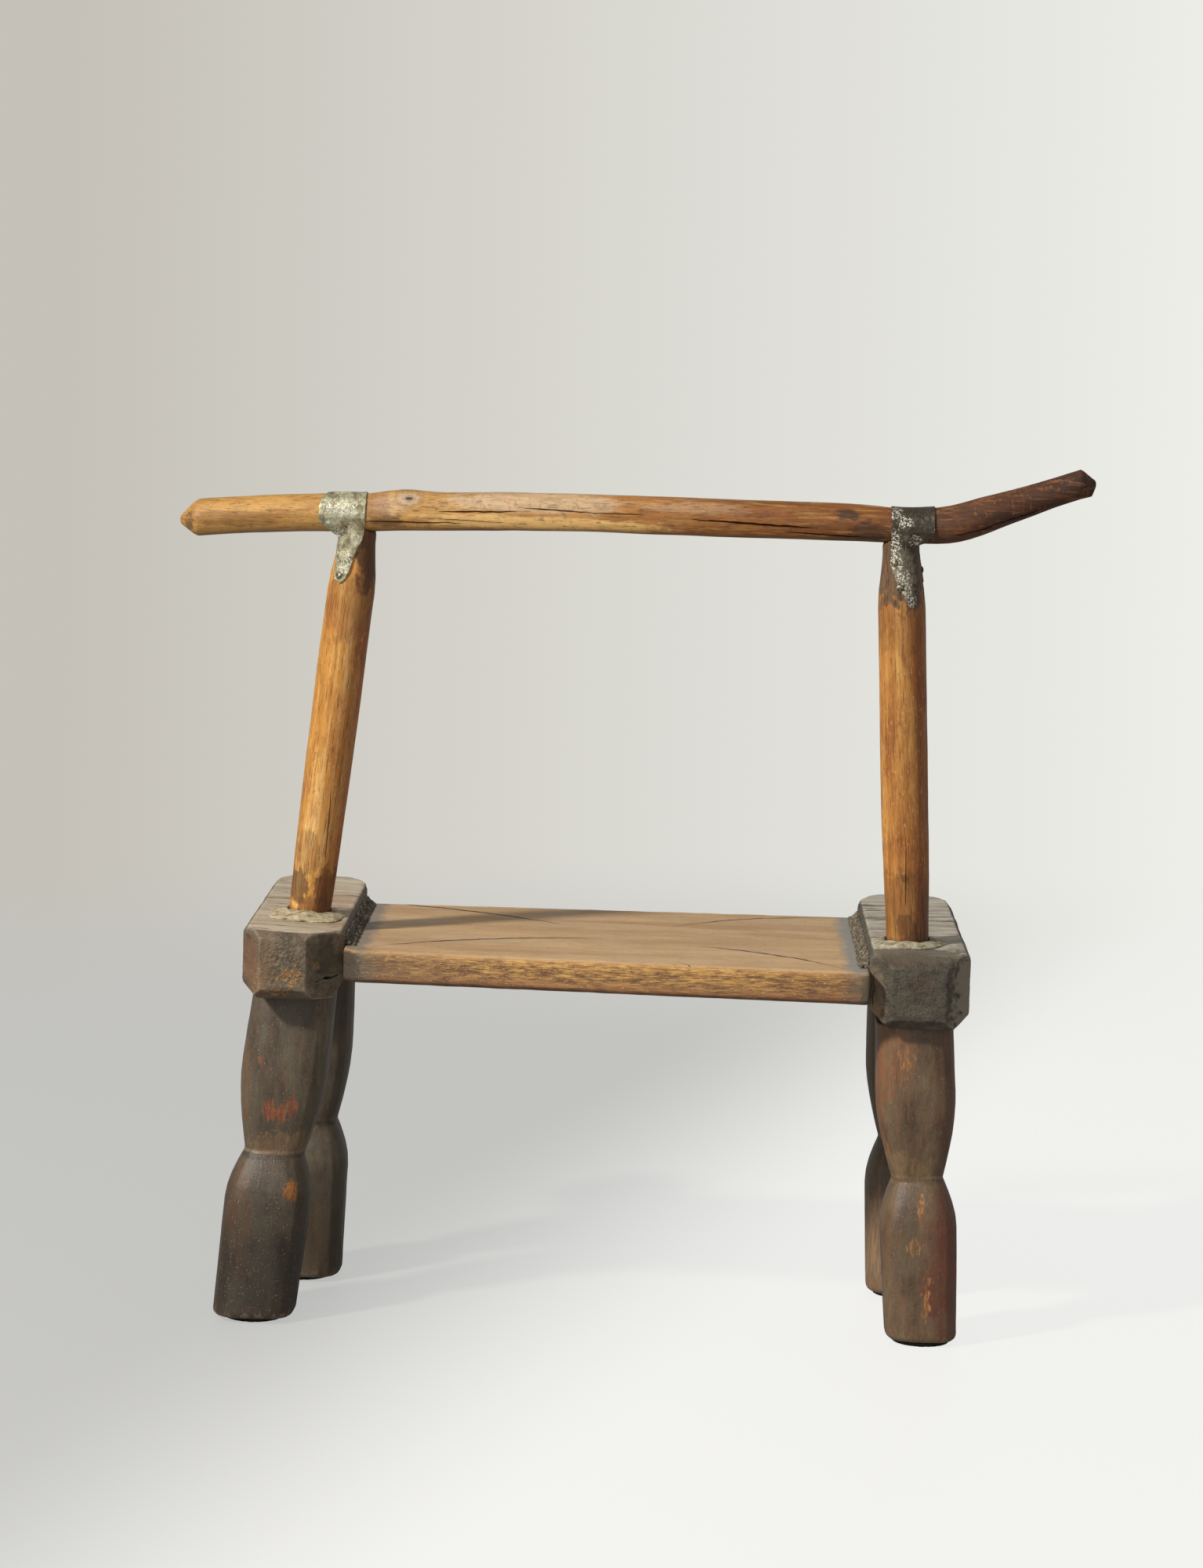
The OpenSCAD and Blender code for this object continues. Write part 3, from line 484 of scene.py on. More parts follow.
railLook = {
    "red": "#804420", "gold": "#c29146", "tailGold": "#9c6234", "cross": "#a0673a", "fleck": "#5b3820",
    "under": "#54341f", "dirt": "#36261b", "knot": (-147, -128, 547),
    "knotReach": (30, 16, 12), "ringRate": 13.0,  # how far the grain bends round the knot, and how tightly
    # half size, share and tone of the knot's rings: pale grey round a dark heart, inside a dark rim
    "knotRings": [((11, 30, 7.5), 0.4, "#7a5636"), ((8.5, 30, 4.4), 0.6, "#c6b296"),
                  ((4.6, 30, 2.4), 0.6, "#8a6a4a"), ((2.6, 30, 1.1), 0.95, "#33261a")],
    # the wood's tone at places along the rail, from X -300 mm to X 300 mm
    "tones": [(0.0, "#cb984e"), (0.21, "#d09e57"), (0.36, "#cd9b5e"), (0.49, "#c0843f"), (0.62, "#a0662f"),
              (0.75, "#8d5425"), (0.83, "#643f24"), (0.93, "#4c2b17"), (1.0, "#331c11")],
    # centre, half size, share and tone of the places rubbed pale or browned by handling; the pale ones
    # along the top are partly a painted highlight
    "worn": [
        ((-62, -124, 548), (62, 16, 8), 0.55, "#dcc3a0"), ((40, -122, 548), (40, 14, 5), 0.25, "#dcc3a0"),
        ((-160, -126, 543), (12, 16, 9), 0.35, "#dcc3a0"),
        ((-55, -128, 534), (85, 30, 5.5), 0.8, "#f2c57c"),
        ((-262, -116, 530), (40, 30, 5), 0.45, "#8c5c2e"), ((-208, -120, 545), (22, 20, 8), 0.2, "#a87438"),
        ((-167, -120, 541), (9, 20, 14), 0.45, "#8a5c44"), ((-286, -112, 540), (8, 20, 9), 0.3, "#a87a3c"),
    ],
    # centre, half size and share of each grimy place
    "grime": [
        ((137, -120, 546.5), (8, 18, 4), 0.8), ((150, -116, 537), (13, 20, 8), 0.6),
        ((190, -110, 541), (16, 20, 16), 0.5), ((140, -114, 531), (26, 20, 4), 0.6),
        ((236, -110, 547), (14, 20, 6), 0.5), ((-160, -112, 532), (12, 22, 5), 0.4),
        ((-288, -110, 527), (4, 10, 7), 0.6),
    ],
    "skin": {"voxel": 1.2, "smooth": 2, "dents": [
        {"size": 26, "depth": 1.2, "stretch": (3, 1, 1), "shift": 11},
        {"size": 8, "depth": 0.45, "stretch": (4, 1, 1), "shift": 5},
    ]},
    "cracks": [
        ((-128, -129, 539.2), (-76, -131, 541.4), (0, 1, 0), 1.3, 3.4, 1, 1.6),
        ((-74, -131, 544.4), (-28, -131, 542.4), (0, 1, 0), 1.0, 3.0, 2),
        ((-30, -131, 542.0), (6, -131, 542.6), (0, 1, 0), 0.8, 2.4, 3),
        ((36, -130, 540.6), (118, -126, 538.0), (0, 1, 0), 1.5, 3.6, 4, 1.6),
        ((96, -128, 534.4), (150, -124, 531.6), (0, 1, 0), 1.0, 2.6, 14),
        ((-176, -121, 531.0), (-112, -123, 532.6), (0, 1, 0.4), 1.6, 4.2, 6),
        ((-128, -125, 534.6), (-84, -125, 533.8), (0, 1, 0.3), 0.8, 2.4, 16),
        ((-40, -118, 530.5), (60, -118, 530.5), (0, 0.2, 1), 0.9, 2.6, 7),
        ((-20, -105, 545), (80, -105, 544), (0, -1, 0), 0.9, 2.8, 8),
        ((206, -126, 536), (232, -126, 541), (0, 1, 0), 0.8, 2.0, 11),
        ((222, -126, 540), (262, -126, 553), (0, 1, 0), 0.8, 2.0, 10),
    ],
}


def agedBranch():
    material, tree, surface, place = newMaterial("back rail, aged bent branch")
    parts = add(tree, "SeparateXYZ", {0: place})
    # growth bands along the branch, bent aside round the knot
    toKnot = add(tree, "Mapping",
                 {"Vector": place, "Location": [c * mm for c in railLook["knot"]],
                  "Scale": [r * mm for r in railLook["knotReach"]]}, vector_type="TEXTURE")
    far = add(tree, "VectorMath", {0: toKnot}, operation="LENGTH").outputs["Value"]
    near = add(tree, "MapRange", {0: far, 1: 0.2, 2: 1.6, 3: 1, 4: 0}, interpolation_type="SMOOTHSTEP")
    bands = streaks(tree, place, (120, 8, 6), 3, 4, 0.6)
    rings = add(tree, "Math", {0: far, 1: railLook["ringRate"]}, operation="MULTIPLY")
    ring = add(tree, "Math", {0: rings}, operation="SINE")
    ringed = add(tree, "MapRange", {0: ring, 1: -1, 2: 1, 3: 0.42, 4: 0.6})
    bands = add(tree, "Mix", {0: near, 2: bands, 3: ringed})
    # handling has kept the left golden: the wood turns red-brown to the right, and dusky beyond the strap
    wave = wavy(tree, place, (50, 9, 9), 5, 0.11, parts.outputs["X"])
    tone = add(tree, "MapRange", {0: wave, 1: -0.245, 2: 0.355})
    colour = add(tree, "ValToRGB", {0: tone}, railLook["tones"])
    colour = shade(tree, colour, bands, [(0.34, 0.62), (0.48, 0.95), (0.66, 1.0)], 0.75)
    # red-brown streaks, and golden ones on the right half
    reds = streaks(tree, place, (46, 5, 4), 12, 5, 0.65)
    colour = glaze(tree, colour, reds, 0.53, 0.64, 0.5, railLook["red"])
    toRight = add(tree, "MapRange", {0: parts.outputs["X"], 1: -0.05, 2: 0.06, 3: 0.1, 4: 0.65})
    golds = add(tree, "MapRange", {0: streaks(tree, place, (38, 4, 3), 13, 5, 0.65), 1: 0.54, 2: 0.63})
    golds = add(tree, "Math", {0: golds, 1: toRight}, operation="MULTIPLY")
    tail = add(tree, "MapRange", {0: parts.outputs["X"], 1: 0.15, 2: 0.21})
    golden = add(tree, "MixRGB", {"Fac": tail, "Color1": railLook["gold"], "Color2": railLook["tailGold"]})
    colour = add(tree, "MixRGB", {"Fac": golds, "Color1": colour, "Color2": golden})
    # worn places, the pale ones on top partly a painted highlight, and reddish marks across the grain
    for spot in railLook["worn"]:
        colour = paint(tree, place, colour, spot, 18, 0.6, (14, 4, 3))
    colour = glaze(tree, colour, streaks(tree, place, (2.4, 4, 5), 14, 3, 0.6),
                   0.60, 0.66, 0.45, railLook["cross"])
    # fibres under a millimetre wide, and short dark pores
    fibres = streaks(tree, place, (22, 1.0, 0.9), 1, 5, 0.74)
    colour = shade(tree, colour, fibres, [(0.34, 0.62), (0.47, 0.93), (0.6, 1.0)], 0.85)
    pore = add(tree, "MapRange",
               {0: streaks(tree, place, (8, 0.9, 0.9), 2, 1, 0.5), 1: 0.62, 2: 0.69, 3: 0, 4: 0.5})
    colour = add(tree, "MixRGB", {"Fac": pore, "Color1": colour, "Color2": railLook["fleck"]})
    # uneven old polish, in short streaks
    mottle = streaks(tree, place, (9, 5, 4), 21, 5, 0.7)
    colour = shade(tree, colour, mottle, [(0.36, 0.74), (0.5, 1.0), (0.64, 1.08)], 0.8)
    # dark blotches, more of them to the right, and grime beside the straps and below
    blotch = add(tree, "MapRange",
                 {0: streaks(tree, place, (15, 5, 4), 6, 5, 0.65), 1: 0.58, 2: 0.68, 3: 0, 4: 0.75})
    dirtier = add(tree, "MapRange", {0: parts.outputs["X"], 1: -0.1, 2: 0.2, 3: 0.2, 4: 1.0})
    blotch = add(tree, "Math", {0: blotch, 1: dirtier}, operation="MULTIPLY")
    colour = add(tree, "MixRGB", {"Fac": blotch, "Color1": colour, "Color2": railLook["dirt"]})
    for spot in railLook["grime"]:
        colour = paint(tree, place, colour, (*spot, railLook["dirt"]), 7, 0.9, (6, 2.5, 2))
    # underside: never handled, and darker where it faces down, a painted shade
    facing = add(tree, "SeparateXYZ", {0: add(tree, "NewGeometry").outputs["Normal"]})
    colour = glaze(tree, colour, facing.outputs["Z"], -0.75, -0.98, 0.75, railLook["under"])
    for ringSpot in railLook["knotRings"]:
        colour = paint(tree, place, colour, (railLook["knot"], *ringSpot), 2, 0.7, (3, 2, 2))
    gloss = add(tree, "MapRange",
                {0: streaks(tree, place, (40, 12, 12), 9), 1: 0.3, 2: 0.7, 3: 0.34, 4: 0.56})
    gloss = add(tree, "Math", {0: tail, 1: 0.26, 2: gloss}, operation="MULTIPLY_ADD")
    relief = add(tree, "Math", {0: pore, 1: -0.8, 2: fibres}, operation="MULTIPLY_ADD")
    relief = add(tree, "Math", {0: bands, 1: 1.2, 2: relief}, operation="MULTIPLY_ADD")
    dress(tree, surface, colour, gloss, relief, 0.5, 0.0008)
    return material


makePiece("back_rail", "backRail", railLook["skin"], agedBranch(), railLook["cracks"])
print("stage: back rail ready")


# Seat: one thin hardwood board, worn pale and nearly matt on top, with growth-ring cracks and a mottled
# golden edge

seatLook = {
    "pale": "#d6b489", "tan": "#cca87b", "brown": "#ba946a", "pore": "#856343", "soil": "#b08a62",
    "dust": "#cdb79a", "crack": "#3f2c1e", "under": "#8d6c4c", "underDark": "#6d5138",
    "edgeGold": "#d9aa60", "edgeMid": "#92643a", "edgeDark": "#694430", "edgeRed": "#8c5c42",
    "edgeLine": "#6d4526", "edgeSpeck": "#dcb87c", "grey": "#6f6251", "arris": "#c09660",
    "lowArris": "#4a3024", "middle": -6, "edgeMiddle": 241.5,  # X and Z in mm
    # where the filler meets the top: X in mm, the way to the middle, width, share and tone of the stain
    "seams": [(-172, 1, 8, 0.75, "#75726b"), (154, -1, 6, 0.85, "#898d8c")],
    # the edge is greyer brown at the left, darker and redder at the right
    "edgeEnds": [(-0.02, -0.10, 0.6, "#7c5e46"), (0.14, 0.20, 0.5, "#734a34")],
    # the left spot is a painted shadow of the left block; the right one darkens the edge's right end
    "edgeSpots": [((-179, -134, 241), (11, 20, 18), 0.85, "#473e33"),
                  ((163, -146, 240), (6, 20, 16), 0.7, "#544838")],
    "skin": {"voxel": 1.5, "smooth": 3, "dents": [
        {"size": 60, "depth": 0.7, "stretch": (3, 1, 1), "shift": 3},
        {"size": 8, "depth": 0.5, "stretch": (2.4, 1, 1), "shift": 7},
    ]},
    # three places on each ring crack, and half its width: wide, because the eye sees the top at a slant
    "ringCracks": [
        ((-171, -121), (-80, -59.3), (6, -39), 1.5),
        ((-176, 84), (-107, 57.5), (-34, 4), 1.9),
        ((44, -57), (97.7, -83.2), (150, -139), 1.5),
        ((30, 8), (89.3, 70.5), (154, 88), 1.3),
    ],
}


def circleThrough(a, b, c):
    # centre and radius of the circle through three places
    twice = 2 * (a[0] * (b[1] - c[1]) + b[0] * (c[1] - a[1]) + c[0] * (a[1] - b[1]))
    square = [p[0] ** 2 + p[1] ** 2 for p in (a, b, c)]
    x = (square[0] * (b[1] - c[1]) + square[1] * (c[1] - a[1]) + square[2] * (a[1] - b[1])) / twice
    y = (square[0] * (c[0] - b[0]) + square[1] * (a[0] - c[0]) + square[2] * (b[0] - a[0])) / twice
    return (x, y), math.hypot(a[0] - x, a[1] - y)


def ringCrack(tree, place, parts, crack):
    # 1 on a thin curved line that thins out at both ends
    (x, y), radius = circleThrough(*crack[:3])
    flat = add(tree, "CombineXYZ", {0: parts.outputs["X"], 1: parts.outputs["Y"]})
    far = add(tree, "VectorMath", {0: flat, 1: (x * mm, y * mm, 0)}, operation="DISTANCE").outputs["Value"]
    off = awayFrom(tree, wavy(tree, place, (14, 14, 14), 12, 0.004, far, 3), (radius + 2) * mm)
    left, right = crack[0][0], crack[2][0]
    middle, half = (left + right) / 2, (right - left) / 2
    along = awayFrom(tree, parts.outputs["X"], middle * mm)
    reach = add(tree, "MapRange",
                {0: along, 1: half * 0.4 * mm, 2: half * mm, 3: crack[3] * mm, 4: -0.0001})
    thin = add(tree, "Math", {0: off, 1: reach}, operation="SUBTRACT")
    return add(tree, "MapRange", {0: thin, 1: -0.0004, 2: 0.0002, 3: 1, 4: 0})


def seatTop(tree, place, parts, fibres):
    # pale and worn, with soil, dust and a blue-grey stain where the filler meets it
    bands = streaks(tree, place, (170, 26, 30), 1, 3, 0.5)
    top = add(tree, "ValToRGB", {0: bands},
              [(0.34, seatLook["brown"]), (0.5, seatLook["tan"]), (0.66, seatLook["pale"])])
    top = shade(tree, top, fibres, [(0.34, 0.84), (0.5, 0.97), (0.66, 1.0)], 0.9)
    top = glaze(tree, top, streaks(tree, place, (5, 1.6, 3), 3, 2, 0.5), 0.60, 0.68, 0.5, seatLook["pore"])
    top = glaze(tree, top, streaks(tree, place, (70, 60, 30), 5, 5), 0.46, 0.66, 0.35, seatLook["soil"])
    top = glaze(tree, top, streaks(tree, place, (40, 30, 30), 15, 5), 0.54, 0.66, 0.3, seatLook["dust"])
    for seam, side, wide, share, tone in seatLook["seams"]:
        wave = wavy(tree, place, (7, 14, 9), 8, 0.018 * side, parts.outputs["X"], 5, 0.65)
        limit = (seam + side * (wide + 9)) * mm
        top = glaze(tree, top, wave, limit + side * 0.003, limit - side * 0.004, share, tone)
    return top


def seatEdge(tree, place, parts, edgeFibres):
    # burnished gold above, bruised brown in blotches along the middle, redder below
    # heights are in metres, and the edge runs from 0.231 to 0.252
    mottle = streaks(tree, place, (12, 8, 4.5), 9, 6, 0.72)
    edge = add(tree, "ValToRGB", {0: edgeFibres},
               [(0.40, seatLook["edgeMid"]), (0.60, seatLook["edgeGold"])])
    height = add(tree, "Math", {0: mottle, 1: 0.014, 2: parts.outputs["Z"]}, operation="MULTIPLY_ADD")
    edge = glaze(tree, edge, height, 0.2475, 0.2400, 0.75, seatLook["edgeRed"])
    fromMiddle = awayFrom(tree, parts.outputs["Z"], seatLook["edgeMiddle"] * mm)
    midBand = add(tree, "MapRange", {0: fromMiddle, 1: 0.003, 2: 0.0085, 3: 0.11, 4: -0.03})
    bruised = add(tree, "Math", {0: mottle, 1: midBand}, operation="ADD")
    bruise = add(tree, "MapRange", {0: bruised, 1: 0.56, 2: 0.68, 3: 0, 4: 0.82})
    # the bruises are broken up by the fibres
    threads = add(tree, "MapRange", {0: edgeFibres, 1: 0.62, 2: 0.44, 3: 0.45, 4: 1})
    bruise = add(tree, "Math", {0: bruise, 1: threads}, operation="MULTIPLY")
    edge = add(tree, "MixRGB", {"Fac": bruise, "Color1": edge, "Color2": seatLook["edgeDark"]})
    slow = wavy(tree, place, (30, 9, 9), 19, 0.10, parts.outputs["X"])
    for low, high, share, tone in seatLook["edgeEnds"]:
        edge = glaze(tree, edge, slow, low, high, share, tone)
    edge = glaze(tree, edge, streaks(tree, place, (40, 3, 1.1), 17, 3, 0.6),
                 0.60, 0.65, 0.6, seatLook["edgeLine"])
    edge = glaze(tree, edge, streaks(tree, place, (1.6, 1.6, 1.1), 18, 2, 0.6),
                 0.64, 0.69, 0.75, seatLook["edgeSpeck"])
    # both ends of the edge are greyed by the filler
    ends = awayFrom(tree, parts.outputs["X"], seatLook["middle"] * mm)
    ends = add(tree, "Math", {0: mottle, 1: 0.03, 2: ends}, operation="MULTIPLY_ADD")
    edge = glaze(tree, edge, ends, 0.164, 0.182, 0.85, seatLook["grey"])
    # a painted shadow of the left block at the edge's left end, and a darker right end
    for spot in seatLook["edgeSpots"]:
        edge = paint(tree, place, edge, spot, 21, 0.6, (4, 4, 4))
    # rubbed above, dark below
    arris = wavy(tree, place, (14, 4, 4), 11, 0.005, parts.outputs["Z"])
    edge = glaze(tree, edge, arris, 0.2518, 0.2540, 0.7, seatLook["arris"])
    return glaze(tree, edge, arris, 0.2365, 0.2345, 0.8, seatLook["lowArris"]), bruise


def seatWood():
    material, tree, surface, place = newMaterial("seat board, worn pale hardwood")
    parts = add(tree, "SeparateXYZ", {0: place})
    fibres = streaks(tree, place, (30, 3, 4), 2, 4, 0.72)
    edgeFibres = streaks(tree, place, (10, 2, 1.0), 10, 4, 0.7)
    edge, bruise = seatEdge(tree, place, parts, edgeFibres)
    facing = add(tree, "SeparateXYZ", {0: add(tree, "NewGeometry").outputs["Normal"]})
    onTop = add(tree, "MapRange", {0: facing.outputs["Z"], 1: 0.72, 2: 0.95})
    colour = add(tree, "MixRGB",
                 {"Fac": onTop, "Color1": edge, "Color2": seatTop(tree, place, parts, fibres)})
    belowWood = add(tree, "MixRGB",
                    {"Fac": fibres, "Color1": seatLook["underDark"], "Color2": seatLook["under"]})
    colour = glaze(tree, colour, facing.outputs["Z"], -0.6, -0.9, 1, belowWood)
    lines = [ringCrack(tree, place, parts, crack) for crack in seatLook["ringCracks"]]
    anyLine = lines[0]
    for line in lines[1:]:
        anyLine = add(tree, "Math", {0: anyLine, 1: line}, operation="MAXIMUM")
    cracked = add(tree, "Math", {0: anyLine, 1: onTop}, operation="MULTIPLY")
    colour = add(tree, "MixRGB", {"Fac": cracked, "Color1": colour, "Color2": seatLook["crack"]})
    gloss = add(tree, "MapRange",
                {0: streaks(tree, place, (60, 30, 12), 4), 1: 0.3, 2: 0.7, 3: 0.42, 4: 0.62})
    relief = add(tree, "Math", {0: cracked, 1: -4.0, 2: fibres}, operation="MULTIPLY_ADD")
    onEdge = add(tree, "MapRange", {0: onTop, 1: 0, 2: 1, 3: 1.6, 4: 0.2})
    rough = add(tree, "Math", {0: edgeFibres, 1: bruise}, operation="SUBTRACT")
    relief = add(tree, "Math", {0: rough, 1: onEdge, 2: relief}, operation="MULTIPLY_ADD")
    dress(tree, surface, colour, gloss, relief, 0.45, 0.0008)
    return material


makePiece("seat_board", "seatBoard", seatLook["skin"], seatWood())
print("stage: seat ready")


# End blocks: heavy carved wood under an old dark patina, rubbed paler on top and on the arrises

blockLook = {
    "line": "#3f342a", "worn": "#a06f34", "wornPale": "#cda05a", "arris": "#a39985", "pit": "#2b241d",
    "under": "#3c332a", "pebble": 2.8,
    "skin": {"voxel": 1.15, "smooth": 2, "dents": [
        {"size": 45, "depth": 1.2, "shift": 13},
        {"size": 7, "depth": 0.5, "shift": 21},
        {"size": 2.6, "depth": 0.3, "shift": 2},
    ]},
}
down = (0, 0, -1)
blocks = {
    # rubbed is how pale the arrises are; pits are the centre and half size of the lumpy skin on the
    # middle facet, and pebbled is how strong it is
    "left_end_block": {
        "name": "leftBlock", "seed": 3, "rubbed": 0.75,
        "top": ("#a8977f", "#cabaa1", "#ddcfb8"), "side": ("#4a3d30", "#6d5c49", "#7d6d58"),
        "tint": "#65604a",
        "pits": ((-217, -138, 242), (14, 16, 20)), "pebbled": 1.0,
        # centre, half size and share of the golden spots where the patina is gone
        "worn": [((-213, -139, 234), (8, 8, 7), 0.95), ((-221, -138, 222.5), (8, 8, 3), 0.95),
                 ((-236, -134, 230), (5, 9, 12), 0.4), ((-198, -134, 241), (4, 6, 3), 0.4)],
        # the same with a tone, for places that are redder, darker or paler than the rest
        "tinted": [
            ((-243, -130, 244), (9, 12, 16), 0.35, "#7c4a34"),
            ((-236, -134, 238), (14, 10, 26), 0.5, "#7a5a40"),
            ((-192, -132, 248), (9, 14, 15), 0.45, "#2f271f"),
            ((-196, 10, 264), (14, 40, 8), 0.4, "#b58463"),
            ((-190, -70, 264), (8, 40, 8), 0.35, "#a47a5a"),
        ],
        "cracks": [
            ((-199, -131.5, 230), (-183, -120, 233), (-0.5, 0.8, 0), 2.6, 5, 1, 5.0),
            ((-236, -84, 264), (-216, -86, 264), down, 0.8, 1.6, 11),
            ((-243, -30, 264), (-190, -34, 264), down, 1.6, 2.2, 12, 2.0),
            ((-243, -8, 264), (-188, -10, 264), down, 1.3, 2.0, 13, 2.0),
            ((-236, -60, 264), (-196, -64, 264), down, 0.9, 2.2, 2, 2.0),
            ((-232, 4, 264), (-190, 10, 264), down, 0.8, 2.0, 4, 2.0),
        ],
    },
    "right_end_block": {
        "name": "rightBlock", "seed": 8, "rubbed": 0.3,
        "top": ("#998e80", "#c6bdad", "#d9d2c2"), "side": ("#352e27", "#50483c", "#645b4b"),
        "tint": "#5a5745",
        "pits": ((183, -134, 238), (24, 16, 20)), "pebbled": 0.4,
        "worn": [((168, -134, 222), (3, 8, 10), 0.4), ((174, -136, 226), (4, 8, 4), 0.3)],
        "tinted": [
            ((186, -134, 260), (20, 10, 5), 0.5, "#5f4334"), ((197, -141, 246), (8, 12, 5), 0.3, "#6a4636"),
            ((190, -20, 264), (26, 60, 8), 0.25, "#a89f8c"),
            ((232, -104, 240), (20, 46, 60), 0.75, "#9a8f7e"),
            # painted light: lightens the left facet, which the seat's end shades
            ((165, -124, 232), (10, 30, 24), 0.7, "#857059"),
            ((192, -124, 264), (40, 22, 8), 0.8, "#5f5646"),
        ],
        "cracks": [
            ((167, -131, 250), (166, -133, 228), (0.5, 0.8, 0), 1.2, 3.0, 5, 3.0),
            ((172, -60, 264), (184, -62, 264), down, 1.4, 2.0, 15),
            ((166, -38, 264), (190, -40, 264), down, 1.4, 2.0, 16, 2.0),
            ((166, 2, 264), (212, -2, 264), down, 1.5, 2.0, 17, 2.0),
            ((166, -133, 222), (176, -137, 219), (0.3, 0.9, 0.2), 0.8, 2.2, 6, 1.2),
            ((172, -20, 264), (222, -24, 264), down, 0.8, 2.0, 7, 1.2),
            ((174, 28, 264), (224, 23, 264), down, 0.9, 2.2, 9, 1.2),
        ],
    },
}


def patinatedBlock(look):
    seed = look["seed"]
    title = look["name"].replace("Block", " end block, carved wood with dark patina")
    material, tree, surface, place = newMaterial(title)
    facing = add(tree, "SeparateXYZ", {0: add(tree, "NewGeometry").outputs["Normal"]}).outputs["Z"]
    # the grain runs across the block, from side to side, and shows as fine raised lines on top
    bands = streaks(tree, place, (90, 14, 14), seed, 5, 0.65)
    top = add(tree, "ValToRGB", {0: bands}, list(zip((0.34, 0.5, 0.66), look["top"])))
    # wider than they are on the chair, because the eye sees the top at a slant
    ridges = streaks(tree, place, (70, 8, 8), seed + 1, 3, 0.6)
    ridge = add(tree, "MapRange", {0: ridges, 1: 0.59, 2: 0.64, 3: 0, 4: 0.75})
    top = add(tree, "MixRGB", {"Fac": ridge, "Color1": top, "Color2": blockLook["line"]})
    fibres = streaks(tree, place, (24, 1.8, 1.8), seed + 2, 4, 0.72)
    top = shade(tree, top, fibres, [(0.34, 0.76), (0.48, 0.96), (0.62, 1.0)], 0.85)
    # the end grain at the sides is darker, blotched green and brown
    blotches = streaks(tree, place, (12, 12, 9), seed + 3, 6, 0.7)
    side = add(tree, "ValToRGB", {0: blotches}, list(zip((0.36, 0.5, 0.62), look["side"])))
    side = glaze(tree, side, streaks(tree, place, (9, 9, 9), seed + 4, 5, 0.65),
                 0.5, 0.6, 0.5, look["tint"])
    speck = streaks(tree, place, (1.2, 1.2, 1.2), seed + 5, 3, 0.7)
    side = shade(tree, side, speck, [(0.34, 0.5), (0.48, 0.93), (0.64, 1.1)], 0.8)
    upward = add(tree, "MapRange", {0: facing, 1: 0.78, 2: 0.95})
    colour = add(tree, "MixRGB", {"Fac": upward, "Color1": side, "Color2": top})
    for spot in look["tinted"]:
        colour = paint(tree, place, colour, spot, seed + 6, 0.8, (5, 5, 5))
    flakes = streaks(tree, place, (3.5, 3.5, 2.5), seed + 9, 6, 0.85)
    grainy = add(tree, "MapRange", {0: flakes, 1: 0.46, 2: 0.56})
    gold = glaze(tree, blockLook["worn"], flakes, 0.54, 0.66, 1, blockLook["wornPale"])
    for spot in look["worn"]:
        colour = paint(tree, place, colour, (*spot, gold), seed + 7, 1.2, (5, 5, 5), grainy)
    # rubbed arrises and dark hollows follow the shape itself
    sharp = add(tree, "NewGeometry").outputs["Pointiness"]
    uneven = add(tree, "Math", {0: blotches, 1: 0.05, 2: sharp}, operation="MULTIPLY_ADD")
    colour = glaze(tree, colour, uneven, 0.540, 0.585, look["rubbed"], blockLook["arris"])
    colour = glaze(tree, colour, sharp, 0.475, 0.43, 0.8, blockLook["pit"])
    colour = glaze(tree, colour, facing, -0.5, -0.9, 0.7, blockLook["under"])
    gloss = add(tree, "MapRange", {0: blotches, 1: 0.3, 2: 0.7, 3: 0.42, 4: 0.66})
    # pebbled skin on the middle facet, grain lines on top
    pebbles = add(tree, "TexVoronoi", {"Vector": place, "Scale": 1 / (blockLook["pebble"] * mm)})
    pebbled = patch(tree, place, *look["pits"], seed + 8, 0.4, (8, 8, 8))
    pebbled = add(tree, "Math", {0: pebbled, 1: look["pebbled"]}, operation="MULTIPLY")
    relief = add(tree, "Math", {0: pebbles, 1: pebbled, 2: speck}, operation="MULTIPLY_ADD")
    topRidge = add(tree, "Math", {0: ridge, 1: upward}, operation="MULTIPLY")
    relief = add(tree, "Math", {0: topRidge, 1: -0.9, 2: relief}, operation="MULTIPLY_ADD")
    dress(tree, surface, colour, gloss, relief, 0.7, 0.0015)
    return material


for node, look in blocks.items():
    makePiece(node, look["name"], blockLook["skin"], patinatedBlock(look), look["cracks"])
print("stage: end blocks ready")


# Legs: waisted, eight-sided, dark with handling, with bare red-brown rubs and pale arrises

